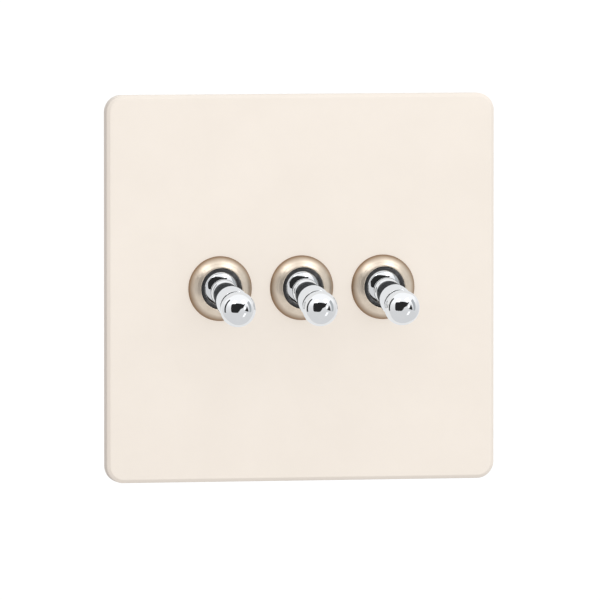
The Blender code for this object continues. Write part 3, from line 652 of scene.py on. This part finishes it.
def shank_profile():
    """Barrel that swells slightly from its root, with spigots at both ends."""
    root = 4.8
    tip = 11.35
    root_spigot = 1.55
    tip_spigot = 14.0
    swell = [(2.60, 4.84), (2.70, 5.2), (2.84, 6.0), (2.96, 7.6), (3.0, 9.8), (3.0, 11.2)]
    return [
        (0.0, root_spigot),
        (SPIGOT_RADIUS, root_spigot),
        (SPIGOT_RADIUS, root),
        (2.56, root),
        *curve(swell, 5),
        (2.88, tip),
        (SPIGOT_RADIUS, tip),
        (SPIGOT_RADIUS, tip_spigot),
        (0.0, tip_spigot),
    ]


def knob_profile():
    """Ferrule with rounded ends, a turned groove, and the ball."""
    radius = 3.9
    centre = 18.95
    ferrule = 3.5
    ferrule_back = 11.5
    back_round = 0.2
    front_round = 0.14
    socket_end = 14.15
    groove = 3.3
    rim = 3.38
    start, end = KNOB_GROOVE
    sphere_start = -math.degrees(math.acos(rim / radius))
    sphere = arc((0.0, centre), radius, sphere_start, 88.0, 56)
    return [
        (0.0, socket_end),
        (SOCKET_RADIUS, socket_end),
        (SOCKET_RADIUS, ferrule_back),
        *arc((ferrule - back_round, ferrule_back + back_round), back_round, -90.0, 0.0, 6),
        *arc((ferrule - front_round, start - front_round), front_round, 0.0, 80.0, 6),
        (groove, start + 0.06),
        (groove, end - 0.10),
        *sphere,
        (0.0, centre + radius),
    ]


def build_toggles():
    """The fine surfaces of the three gangs: collar and seat fixed, lever pieces riding."""
    collar = turned("collar_fine", collar_profile(), 128)
    seat = turned("seat_fine", seat_profile(), 96)
    ball = turned("ball_fine", ball_profile(), 96)
    shank = turned("shank_fine", shank_profile(), 80)
    knob = turned("knob_fine", knob_profile(), 112)
    for gang in GANGS:
        pivot = [value / MM for value in joints[f"toggle_{gang}"]["pos_m"]]
        for name, mesh, slot in (
            ("collar", collar, "satin_nickel"),
            ("seat_ring", seat, "black_nylon"),
        ):
            piece(
                f"{name}_fine_{gang}",
                mesh.copy(),
                look_of(slot),
                slot,
                "base",
                f"{name}_{gang}",
                at=(GANG_X[gang], 0.0, 0.0),
            )
        for name, mesh, look, slot in (
            ("pivot_ball", ball, look_of("polished_chrome"), "polished_chrome"),
            ("shank", shank, look_of("dark_shank"), "dark_shank"),
            ("knob", knob, KNOB_LOOK, "polished_chrome"),
        ):
            piece(
                f"{name}_fine_{gang}",
                mesh.copy(),
                look,
                slot,
                f"toggle_{gang}",
                f"{name}_{gang}",
                at=pivot,
                tilt=LEVER_TILT,
            )


# ---------------------------------------------------------------- the case behind the plate


def box_of(node):
    """Low and high corners of a CAD node, in millimetres."""
    low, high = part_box(node)
    return low / MM, high / MM


def grown(outline_size, inset):
    """A rounded rectangle of (width, height, corner radius), drawn in by an inset."""
    width, height, radius = outline_size
    return rounded_rectangle(
        width - 2 * inset, height - 2 * inset, max(0.05, radius - inset), 6
    )


def stepped(name, size, steps):
    """A block whose outline is drawn in by given insets along y: grooves and rounded ends."""
    return lofted(name, [(y, grown(size, inset)) for y, inset in steps])


def pocket(x, z, width, height, y_range, radius):
    """A rounded block for cutting, or for joining on, between two depths."""
    corners = rounded_rectangle(width, height, radius, 4)
    outline = [(x + across, z + up) for across, up in corners]
    return lofted("pocket", [(y_range[0], outline), (y_range[1], outline)])


def funnel(radius, mouth, centre, depth, axis, outward):
    """A hole with a countersunk mouth; outward is +1 or -1 along the axis."""
    profile = [(0.0, -depth), (radius, -depth), (radius, -mouth), (radius + mouth, 0.0)]
    profile += [(radius + mouth, PROUD), (0.0, PROUD)]
    mesh = turned("funnel", profile, 40)
    turns = {
        ("Z", 1): Matrix.Rotation(-math.pi / 2, 4, "X"),
        ("Z", -1): Matrix.Rotation(math.pi / 2, 4, "X"),
        ("Y", 1): Matrix.Rotation(math.pi, 4, "Z"),
    }
    mesh.transform(Matrix.Translation(Vector(centre) * MM) @ turns[(axis, outward)])
    return mesh


# where the case, the frame and the yoke meet the pieces that they hold
TERMINALS = ((-3.85, 1), (3.85, 1), (0.0, -1))
TERMINAL_SCREW_Z = 12.9
TERMINAL_HEAD = 1.6
WIRE_Y = 16.7
FIXING_X = 30.15
STAKES = [(x, z) for x in (-24.0, 24.0) for z in (-19.2, 19.2)]
# how far a cutter reaches past a surface, and the depths that go right through the frame
PROUD = 1.0
THROUGH = (-5.0, PROUD)


def housing_mesh():
    """Two-part moulded case: split line, wire funnels, screw wells, moulded stakes."""
    low, high = box_of("housing_middle")
    width, height = high.x - low.x, high.z - low.z
    front, back = low.y, high.y
    wall = 1.3
    corner = 0.9
    seam = 0.28
    split = front + 0.56 * (back - front)
    case = stepped(
        "case",
        (width, height, corner),
        [
            (front, 0.20),
            (front + 0.20, 0.0),
            (split - 0.30, 0.0),
            (split - 0.22, 0.10),
            (split - 0.18, seam),
            (split + 0.12, seam),
            (split + 0.16, 0.10),
            (split + 0.24, 0.0),
            (back - 0.60, 0.0),
            (back - 0.32, 0.08),
            (back - 0.12, 0.28),
            (back, 0.60),
        ],
    )
    hollow = stepped(
        "hollow",
        (width - 2 * wall, height - 2 * wall, 0.4),
        [(front - PROUD, 0.0), (back - wall - 0.1, 0.0)],
    )
    wire_hole, wire_mouth = 1.8, 0.5
    screw_well, well_mouth = 2.35, 0.35
    reach = 2.0
    cutters = [hollow]
    for x, side in TERMINALS:
        wire_centre = (x, WIRE_Y, side * height / 2)
        well_centre = (x, back, side * TERMINAL_SCREW_Z)
        mark_z = side * (height / 2 - 0.55)
        cutters.append(funnel(wire_hole, wire_mouth, wire_centre, reach, "Z", side))
        cutters.append(funnel(screw_well, well_mouth, well_centre, reach, "Y", 1))
        cutters.append(pocket(x, mark_z, 1.2, 0.5, (back - 0.25, back + PROUD), 0.2))
    divider_z = TERMINAL_SCREW_Z + 0.2
    panel_width = 11.0
    cutters.append(pocket(0.0, divider_z, 0.7, 6.0, (back - 0.35, back + PROUD), 0.3))
    cutters.append(pocket(0.0, 3.0, panel_width, 9.0, (back - 0.22, back + PROUD), 1.0))
    cutters.append(pocket(0.0, -6.4, panel_width, 0.5, (back - 0.3, back + PROUD), 0.2))
    well_radius, stake_radius = 1.35, 0.8
    stake_sink = 0.35
    stakes = []
    for side in (-1, 1):
        wall_x = side * width / 2
        for z in (-12.4, 12.4):
            for y in (front + 4.6, back - 3.4):
                stake_x = wall_x - side * stake_sink
                cutters.append(cylinder(well_radius, (wall_x, y, z), 2 * stake_sink, "X", 36))
                stakes.append(cylinder(stake_radius, (stake_x, y, z), 0.5, "X", 36))
    return joined(cut(case, *cutters), *stakes)


def frame_mesh():
    """Moulded mounting frame: rim, window, levelling slots, heat stakes, ribbed back."""
    low, high = box_of("mounting_frame")
    width, height = high.x - low.x, high.z - low.z
    front = low.y
    floor = 1.2
    wall = 2.0
    corner = 2.6
    edge = 0.25
    inside = (width - 2 * wall, height - 2 * wall, 1.2)
    body = stepped(
        "frame",
        (width, height, corner),
        [(front, edge), (front + edge, 0.0), (-edge, 0.0), (-0.08, 0.08), (0.0, edge)],
    )
    tray = stepped("tray", inside, [(front - PROUD, 0.0), (-floor, 0.0)])
    window = pocket(0.0, 0.0, 54.4, 34.6, THROUGH, 0.8)
    earth_notch = pocket(0.0, 18.0, 8.4, 10.4, THROUGH, 0.8)
    cutters = [tray, window, earth_notch]
    for side in (-1, 1):
        cutters.append(pocket(side * FIXING_X, 0.0, 4.0, 7.0, THROUGH, 1.98))
    coffer = (-0.40, PROUD)
    coffer_corner = 0.9
    earth_tab_room = 6.0
    for column in range(8):
        x = -35.0 + column * 10.0
        for z in (32.6, -32.6):
            if abs(x) < earth_tab_room and z > 0:
                continue
            cutters.append(pocket(x, z, 7.6, 11.2, coffer, coffer_corner))
    for side in (-1, 1):
        for z in (-16.0, 16.0):
            cutters.append(pocket(side * 36.0, z, 5.4, 16.0, coffer, coffer_corner))
    shaped = cut(body, *cutters)
    peg_radius = 1.2
    rib_z = 33.0
    rib_length = 72.0
    parts = [cylinder(peg_radius, (x, -1.7, z), 2.0, "Y", 32) for x, z in STAKES]
    for side in (-1, 1):
        parts.append(pocket(0.0, side * rib_z, rib_length, 1.2, (-2.4, -1.0), 0.3))
    return joined(shaped, *parts)


def yoke_mesh():
    """Pressed steel strap that the three bushes clamp, with the earth tab bent back from it."""
    low, high = box_of("yoke")
    front = low.y
    sheet = 1.1
    reach = high.y
    top = 21.0
    half = high.x
    notch_x = 26.0
    notch_z = 5.5
    right_side = [(half, -top), (half, -notch_z), (notch_x, -notch_z)]
    right_side += [(x, -z) for x, z in reversed(right_side)]
    outline = [(-half, -top), *right_side, *[(-x, -z) for x, z in right_side[:-1]]]
    grid = lofted("grid", [(front, outline), (front + sheet, outline)])
    shelf = top + 1.4
    bend = 0.9
    tip = 0.4
    overlap = 1.0
    tab_outline = [
        (front, top - overlap),
        *arc((front + bend, shelf - bend), bend, 180.0, 90.0, 5),
        (reach - sheet, shelf),
        (reach - sheet, high.z - 2 * tip),
        *arc((reach - sheet + tip, high.z - tip), tip, 180.0, 90.0, 5),
        *arc((reach - tip, high.z - tip), tip, 90.0, 0.0, 5),
        *arc((reach - bend, shelf - sheet + bend), bend, 0.0, -90.0, 5),
        (front + sheet, shelf - sheet),
        (front + sheet, top - overlap),
    ]
    tab_half = 3.5
    vertices = [(x, y, z) for x in (-tab_half, tab_half) for y, z in tab_outline]
    count = len(tab_outline)
    faces = [list(range(count)), [count + k for k in reversed(range(count))]]
    faces += [[k, (k + 1) % count, count + (k + 1) % count, count + k] for k in range(count)]
    tab = finished("tab", vertices, faces)
    bush_hole = 5.65
    peg_hole = 1.35
    earth_hole = 1.75
    earth_z = 26.6
    middle = -1.9
    drill = 4.0
    holes = [cylinder(bush_hole, (GANG_X[gang], middle, 0.0), drill, "Y", 72) for gang in GANGS]
    holes += [cylinder(peg_hole, (x, middle, z), drill, "Y", 32) for x, z in STAKES]
    holes.append(cylinder(earth_hole, (0.0, reach - sheet / 2, earth_z), drill, "Y", 36))
    return cut(joined(grid, tab), *holes)


def thread(radius, root, pitch, start, end):
    """Thread crests along a screw's shank, as (radius, forward) pairs."""
    turns = max(1, int(abs(end - start) / pitch))
    step = (end - start) / turns
    points = []
    for k in range(turns):
        begin = start + k * step
        points += [
            (root, begin),
            (root, begin + 0.15 * step),
            (radius, begin + 0.45 * step),
            (radius, begin + 0.60 * step),
            (root, begin + 0.92 * step),
        ]
    points.append((root, end))
    return points


def slotted(mesh, width, length, y_range):
    """Cut a screwdriver slot across a head."""
    blade = block((-length / 2, y_range[0], -width / 2), (length / 2, y_range[1], width / 2))
    return cut(mesh, blade)


def fixing_screw_mesh():
    """Raised slotted head, a short plain neck, then thread down to a chamfered tip."""
    low, high = box_of("fixing_screw_left")
    top, seat = -low.y, 1.35
    tip = -high.y
    head, shank, root = 3.4, 1.7, 1.42
    pitch = 0.6
    chamfer = 0.5
    dome = curve([(head, 1.75), (3.2, 2.08), (2.6, 2.42), (1.5, top - 0.06), (0.0, top)], 5)
    profile = [(0.0, tip), (1.25, tip), (1.4, tip + chamfer)]
    profile += thread(shank, root, pitch, tip + chamfer, seat - 0.6)
    profile += [(shank, seat - 0.35), (shank, seat), (head - 0.1, seat), (head, seat + 0.1), *dome]
    return slotted(turned("fixing_screw", profile, 48), 0.8, 8.0, (-3.2, -1.95))


def earth_screw_mesh():
    """Cheese head at the back, its threaded shank pointing forward through the tab."""
    low, high = box_of("earth_screw")
    tip, back = -low.y, -high.y
    seat = back + 2.0
    head, shank, root = 2.9, 1.6, 1.34
    pitch = 0.7
    chamfer = 0.4
    rim = [(head, seat - 1.25), (2.75, back + 0.42), (2.2, back + 0.12), (1.2, back + 0.01)]
    profile = [(0.0, tip), (1.15, tip), (1.32, tip - chamfer)]
    profile += thread(shank, root, pitch, tip - chamfer, seat + 0.3)
    profile += [(shank, seat + 0.2), (shank, seat), (head - 0.08, seat), (head, seat - 0.08)]
    profile += [*curve(rim, 5), (0.0, back)]
    return slotted(turned("earth_screw", profile, 48), 0.8, 7.0, (-back - 0.9, -back + 1.0))


def terminal_screw_mesh():
    """Slotted head with a chamfered rim; its own origin is on the block's back face."""
    top = -TERMINAL_HEAD
    seat = -0.15
    tip = 2.4
    head, shank, root = 2.1, 1.4, 1.18
    pitch = 0.5
    dome = curve([(head, top + 0.30), (2.02, top + 0.12), (1.7, top + 0.03), (1.0, top)], 4)
    profile = [(0.0, tip), (1.1, tip)]
    profile += thread(shank, root, pitch, tip - 0.1, 0.1)
    profile += [(shank, seat), (head - 0.08, seat), (head, seat - 0.08), *dome, (0.0, top)]
    return slotted(turned("terminal_screw", profile, 48), 0.7, 6.0, (0.85, 3.0))


def build_back():
    """The fine surfaces behind the plate: frame, yoke, cases and screws."""
    frame_piece = piece(
        "frame_fine", frame_mesh(), look_of("frame_plastic"), "frame_plastic", "base", "mounting_frame"
    )
    yoke_piece = piece("yoke_fine", yoke_mesh(), look_of("zinc_steel"), "zinc_steel", "base", "yoke")
    rounded_edges(frame_piece, 0.10)
    rounded_edges(yoke_piece, 0.12)
    case = housing_mesh()
    for gang in GANGS:
        made = piece(
            f"housing_fine_{gang}",
            case.copy(),
            look_of("white_urea"),
            "white_urea",
            "base",
            f"housing_{gang}",
            at=(GANG_X[gang], 0.0, 0.0),
        )
        rounded_edges(made, 0.08)
    steel = look_of("zinc_steel")
    screw = fixing_screw_mesh()
    for side in ("left", "right"):
        low, high = box_of(f"fixing_screw_{side}")
        at = ((low.x + high.x) / 2, 0.0, 0.0)
        name = f"fixing_screw_{side}"
        piece(f"{name}_fine", screw.copy(), steel, "zinc_steel", "base", name, at=at)
    low, high = box_of("earth_screw")
    at = (0.0, 0.0, (low.z + high.z) / 2)
    screw = earth_screw_mesh()
    piece("earth_screw_fine", screw, look_of("brass"), "brass", "base", "earth_screw", at=at)
    screw = terminal_screw_mesh()
    for gang in GANGS:
        for terminal in ("com", "l1", "l2"):
            name = f"screw_{terminal}_{gang}"
            low, high = box_of(name)
            at = ((low.x + high.x) / 2, high.y - TERMINAL_HEAD, (low.z + high.z) / 2)
            piece(f"{name}_fine", screw.copy(), steel, "zinc_steel", "base", name, at=at)


# ---------------------------------------------------------------- carried-over CAD nodes


def paint_cad_nodes():
    """Every CAD node that stays in view gets the procedural look of its slot; the bushes get brass painted
    near black as painted shade.
    """
    slots = {entry["node"]: entry["material_slot"] for entry in frame["record"]["subparts"]}
    for name, node in frame["nodes"].items():
        # the bushes take the near-black brass, painted shade, instead of the look of their slot
        look = BUSH_LOOK if name.startswith("bush_") else look_of(slots[name])
        if node.data.materials:
            for index in range(len(node.data.materials)):
                node.data.materials[index] = look
        else:
            node.data.materials.append(look)
        node.modifiers.new("even_shading", "WEIGHTED_NORMAL").keep_sharp = True


# ---------------------------------------------------------------- studio

CAMERA_AZIMUTH = -12.2
CAMERA_ELEVATION = 3.0
CAMERA_DISTANCE = 2.4
VIEW_WIDTH = 0.1335
AIM_ACROSS = 0.0005
AIM_DROP = 0.00295
CARD_DISTANCE = 1.2
FLOOR_RADIUS = 0.42
FLOOR_DROP = 0.13
FACE_CARD_MARGIN = 2.0
FACE_CARD_GAP = 0.03
CLEAR_OF_REFLECTIONS = ("knob_fine", "shank_fine", "pivot_ball_fine", "seat_ring_fine", "collar_fine")


def direction(azimuth, elevation):
    """From the object towards azimuth and elevation; azimuth 0 is the front, -Y."""
    a, e = math.radians(azimuth), math.radians(elevation)
    return Vector((math.sin(a) * math.cos(e), -math.cos(a) * math.cos(e), math.sin(e)))


def plain(name, colour, strength=None):
    """A studio surface: matt, or glowing where a strength is given."""
    made = bpy.data.materials.new(name)
    made.use_nodes = True
    nodes = made.node_tree.nodes
    if strength is None:
        nodes["Principled BSDF"].inputs["Base Color"].default_value = (*colour, 1.0)
        nodes["Principled BSDF"].inputs["Roughness"].default_value = 0.9
        return made
    glow = nodes.new("ShaderNodeEmission")
    glow.inputs["Color"].default_value = (*colour, 1.0)
    glow.inputs["Strength"].default_value = strength
    made.node_tree.links.new(glow.outputs["Emission"], nodes["Material Output"].inputs["Surface"])
    made.cycles.emission_sampling = "NONE"
    return made


def studio_card(name, look, azimuth, elevation, outline):
    """A flat card facing the object that only reflections see.

    The outline is given as slopes: across and up, per unit of distance from the object.
    """
    out = direction(azimuth, elevation)
    turn = out.to_track_quat("Z", "Y")
    mesh = bpy.data.meshes.new(name)
    corners = [(x * CARD_DISTANCE, y * CARD_DISTANCE, 0.0) for x, y in outline]
    mesh.from_pydata(corners, [], [list(range(len(corners)))])
    card = bpy.data.objects.new(name, mesh)
    bpy.context.scene.collection.objects.link(card)
    card.location = out * CARD_DISTANCE
    card.rotation_mode = "QUATERNION"
    card.rotation_quaternion = turn
    mesh.materials.append(look)
    card.visible_camera = False
    card.visible_diffuse = False
    card.visible_shadow = False


def soft_light(
    name, azimuth, elevation, distance, size, power, colour=(1.0, 1.0, 1.0), seen=True, shadow=False
):
    """A square softbox aimed at the object; seen says whether reflections show it."""
    data = bpy.data.lights.new(name, "AREA")
    data.shape = "SQUARE"
    data.size = size
    data.energy = power
    data.color = colour
    data.use_shadow = shadow
    light = bpy.data.objects.new(name, data)
    bpy.context.scene.collection.objects.link(light)
    out = direction(azimuth, elevation)
    light.location = out * distance
    light.rotation_mode = "QUATERNION"
    light.rotation_quaternion = out.to_track_quat("Z", "Y")
    light.visible_glossy = seen


def gradient(nodes, links, height, levels):
    """Grey levels against height, which runs from -1 straight down to 1 straight up."""
    scaled = nodes.new("ShaderNodeMapRange")
    scaled.inputs["From Min"].default_value = -1.0
    links.new(height, scaled.inputs["Value"])
    ramp = nodes.new("ShaderNodeValToRGB")
    stops = ramp.color_ramp.elements
    for stop, (at, level) in zip(stops, (levels[0], levels[-1])):
        stop.position = (at + 1.0) / 2.0
        stop.color = (level, level, level, 1.0)
    for at, level in levels[1:-1]:
        stops.new((at + 1.0) / 2.0).color = (level, level, level, 1.0)
    links.new(scaled.outputs["Result"], ramp.inputs["Fac"])
    return ramp.outputs["Color"]


def build_world():
    """Soft room light, stronger from above."""
    world = bpy.data.worlds.new("studio")
    bpy.context.scene.world = world
    world.use_nodes = True
    nodes, links = world.node_tree.nodes, world.node_tree.links
    place = nodes.new("ShaderNodeTexCoord")
    split = nodes.new("ShaderNodeSeparateXYZ")
    links.new(place.outputs["Generated"], split.inputs["Vector"])
    levels = ((-1.0, 0.50), (-0.3, 0.44), (0.0, 0.45), (0.4, 0.56), (1.0, 0.72))
    colour = gradient(nodes, links, split.outputs["Z"], levels)
    links.new(colour, nodes["Background"].inputs["Color"])
    nodes["Background"].inputs["Strength"].default_value = 1.0


def room_shell(name, look, radius):
    """A large sphere round the studio that throws no light and no shadow."""
    mesh = bpy.data.meshes.new(name)
    work = bmesh.new()
    bmesh.ops.create_icosphere(work, subdivisions=4, radius=radius)
    bmesh.ops.reverse_faces(work, faces=work.faces)
    work.to_mesh(mesh)
    work.free()
    room = bpy.data.objects.new(name, mesh)
    bpy.context.scene.collection.objects.link(room)
    mesh.materials.append(look)
    room.visible_diffuse = False
    room.visible_shadow = False
    room.visible_transmission = False
    return room


def tent_look():
    """What polished metal sees: a pale tent, white overhead and grey low down."""
    look = plain("tent_gradient", (1.0, 1.0, 1.0), 1.1)
    nodes, links = look.node_tree.nodes, look.node_tree.links
    place = nodes.new("ShaderNodeTexCoord")
    direction_of = nodes.new("ShaderNodeVectorMath")
    direction_of.operation = "NORMALIZE"
    links.new(place.outputs["Object"], direction_of.inputs[0])
    split = nodes.new("ShaderNodeSeparateXYZ")
    links.new(direction_of.outputs["Vector"], split.inputs["Vector"])
    levels = ((-1.0, 0.67), (-0.4, 0.67), (0.0, 0.74), (0.25, 0.82), (0.5, 1.0), (1.0, 1.0))
    colour = gradient(nodes, links, split.outputs["Z"], levels)
    glow = [node for node in nodes if node.type == "EMISSION"][0]
    links.new(colour, glow.inputs["Color"])
    return look


def build_floor():
    """A pale round floor that neither tints the object nor shows in its plating."""
    floor_mesh = bpy.data.meshes.new("floor")
    work = bmesh.new()
    bmesh.ops.create_circle(work, cap_ends=True, segments=96, radius=FLOOR_RADIUS)
    work.to_mesh(floor_mesh)
    work.free()
    floor = bpy.data.objects.new("floor", floor_mesh)
    bpy.context.scene.collection.objects.link(floor)
    floor.location = (0.0, 0.0, -FLOOR_DROP)
    floor.visible_glossy = False
    floor.visible_diffuse = False
    floor_mesh.materials.append(plain("floor_pale", (0.86, 0.86, 0.85)))


def build_studio():
    """Softboxes, the pale tent, and the cards that give polished metal its dark shapes."""
    build_world()
    white_room = room_shell("white_room", plain("room_white", (1.0, 1.0, 1.0), 1.05), 3.4)
    white_room.visible_glossy = False
    tent = room_shell("light_tent", tent_look(), 3.2)
    tent.visible_camera = False
    build_floor()
    soft_light("key", 40.0, 46.0, 1.3, 0.52, 1.75)
    soft_light("fill", -44.0, 48.0, 1.3, 0.46, 1.3)
    soft_light("front", 6.0, -4.0, 2.1, 1.2, 20.5, seen=False)
    soft_light("side", 72.0, 34.0, 1.8, 0.9, 3.0, seen=False)
    soft_light("rear", 150.0, 42.0, 2.0, 0.8, 7.0, seen=False, shadow=True)
    soft_light("bounce", -84.0, -32.0, 1.2, 0.9, 0.7, (1.0, 0.5, 0.42), seen=False)
    black = plain("card_black", (1.0, 1.0, 1.0), 0.025)
    grey = plain("card_grey", (0.94, 0.98, 1.0), 0.50)
    white = plain("card_white", (1.0, 1.0, 1.0), 1.25)
    ahead = (CAMERA_AZIMUTH, CAMERA_ELEVATION)
    dark_side = (
        (-0.95, 0.84), (-1.08, 0.70), (-1.00, -0.36), (-0.86, -0.46), (-0.06, -0.42),
        (0.06, -0.34), (0.30, 0.02), (0.68, 0.20), (0.86, 0.44), (1.50, 1.16), (0.72, 0.76),
    )
    window_upper = ((0.78, -0.05), (1.25, 0.0), (1.25, 0.36), (0.84, 0.38))
    window_lower = ((0.85, -1.50), (1.55, -1.70), (1.75, -0.80), (0.95, -0.62))
    panel = ((-0.10, -0.50), (0.20, -0.46), (0.26, 0.52), (-0.16, 0.44))
    stand = ((-0.30, -0.16), (0.20, -0.26), (0.02, 0.30))
    strip = ((-0.14, -0.66), (0.12, -0.66), (0.15, 0.60), (-0.06, 0.62))
    studio_card("camera_side_card", black, *ahead, dark_side)
    studio_card("window_upper", white, *ahead, window_upper)
    studio_card("window_lower", white, *ahead, window_lower)
    studio_card("side_panel", grey, CAMERA_AZIMUTH + 86.0, 12.0, panel)
    studio_card("side_stand", black, CAMERA_AZIMUTH + 62.0, 2.0, stand)
    studio_card("side_strip", black, CAMERA_AZIMUTH - 92.0, 18.0, strip)


def one_sided(look):
    """Let rays that reach the back of a card through."""
    nodes, links = look.node_tree.nodes, look.node_tree.links
    output = nodes["Material Output"].inputs["Surface"]
    front = output.links[0].from_socket
    mix = nodes.new("ShaderNodeMixShader")
    links.new(nodes.new("ShaderNodeNewGeometry").outputs["Backfacing"], mix.inputs["Fac"])
    links.new(front, mix.inputs[1])
    links.new(nodes.new("ShaderNodeBsdfTransparent").outputs["BSDF"], mix.inputs[2])
    links.new(mix.outputs["Shader"], output)
    return look


def build_face_card():
    """A pale card just off the plate's face, seen only by the reflections in front of it.

    It keeps the cream of the plate out of the levers' plating.
    """
    mesh = bpy.data.meshes.new("face_card")
    width = PLATE_WIDTH - 2 * FACE_CARD_MARGIN
    height = PLATE_HEIGHT - 2 * FACE_CARD_MARGIN
    outline = rounded_rectangle(width, height, 3.0, 6)
    depth = -(PLATE_FRONT + FACE_CARD_GAP)
    corners = [Vector((x, depth, z)) * MM for x, z in outline]
    mesh.from_pydata(corners, [], [list(range(len(corners)))])
    card = bpy.data.objects.new("face_card", mesh)
    bpy.context.scene.collection.objects.link(card)
    mesh.materials.append(one_sided(plain("face_card_white", (0.92, 0.91, 0.89), 1.0)))
    card.visible_camera = False
    card.visible_diffuse = False
    card.visible_shadow = False


def keep_reflections_clear():
    """The gangs don't mirror one another, so all three levers look alike."""
    for obj in bpy.data.objects:
        if obj.name.startswith(CLEAR_OF_REFLECTIONS):
            obj.visible_glossy = False


def build_camera():
    """A long lens at the viewing angle, aimed just below the middle of the plate."""
    data = bpy.data.cameras.new("camera")
    camera = bpy.data.objects.new("camera", data)
    bpy.context.scene.collection.objects.link(camera)
    back = direction(CAMERA_AZIMUTH, CAMERA_ELEVATION)
    target = Vector((AIM_ACROSS, 0.0, -AIM_DROP))
    camera.location = target + back * CAMERA_DISTANCE
    camera.rotation_mode = "QUATERNION"
    camera.rotation_quaternion = back.to_track_quat("Z", "Y")
    data.sensor_width = 36.0
    data.lens = data.sensor_width * CAMERA_DISTANCE / VIEW_WIDTH
    data.clip_end = 20.0
    bpy.context.scene.camera = camera
    bpy.context.scene.view_settings.view_transform = "Standard"


build_plate()
build_toggles()
build_back()
paint_cad_nodes()
build_studio()
build_face_card()
build_camera()
keep_reflections_clear()
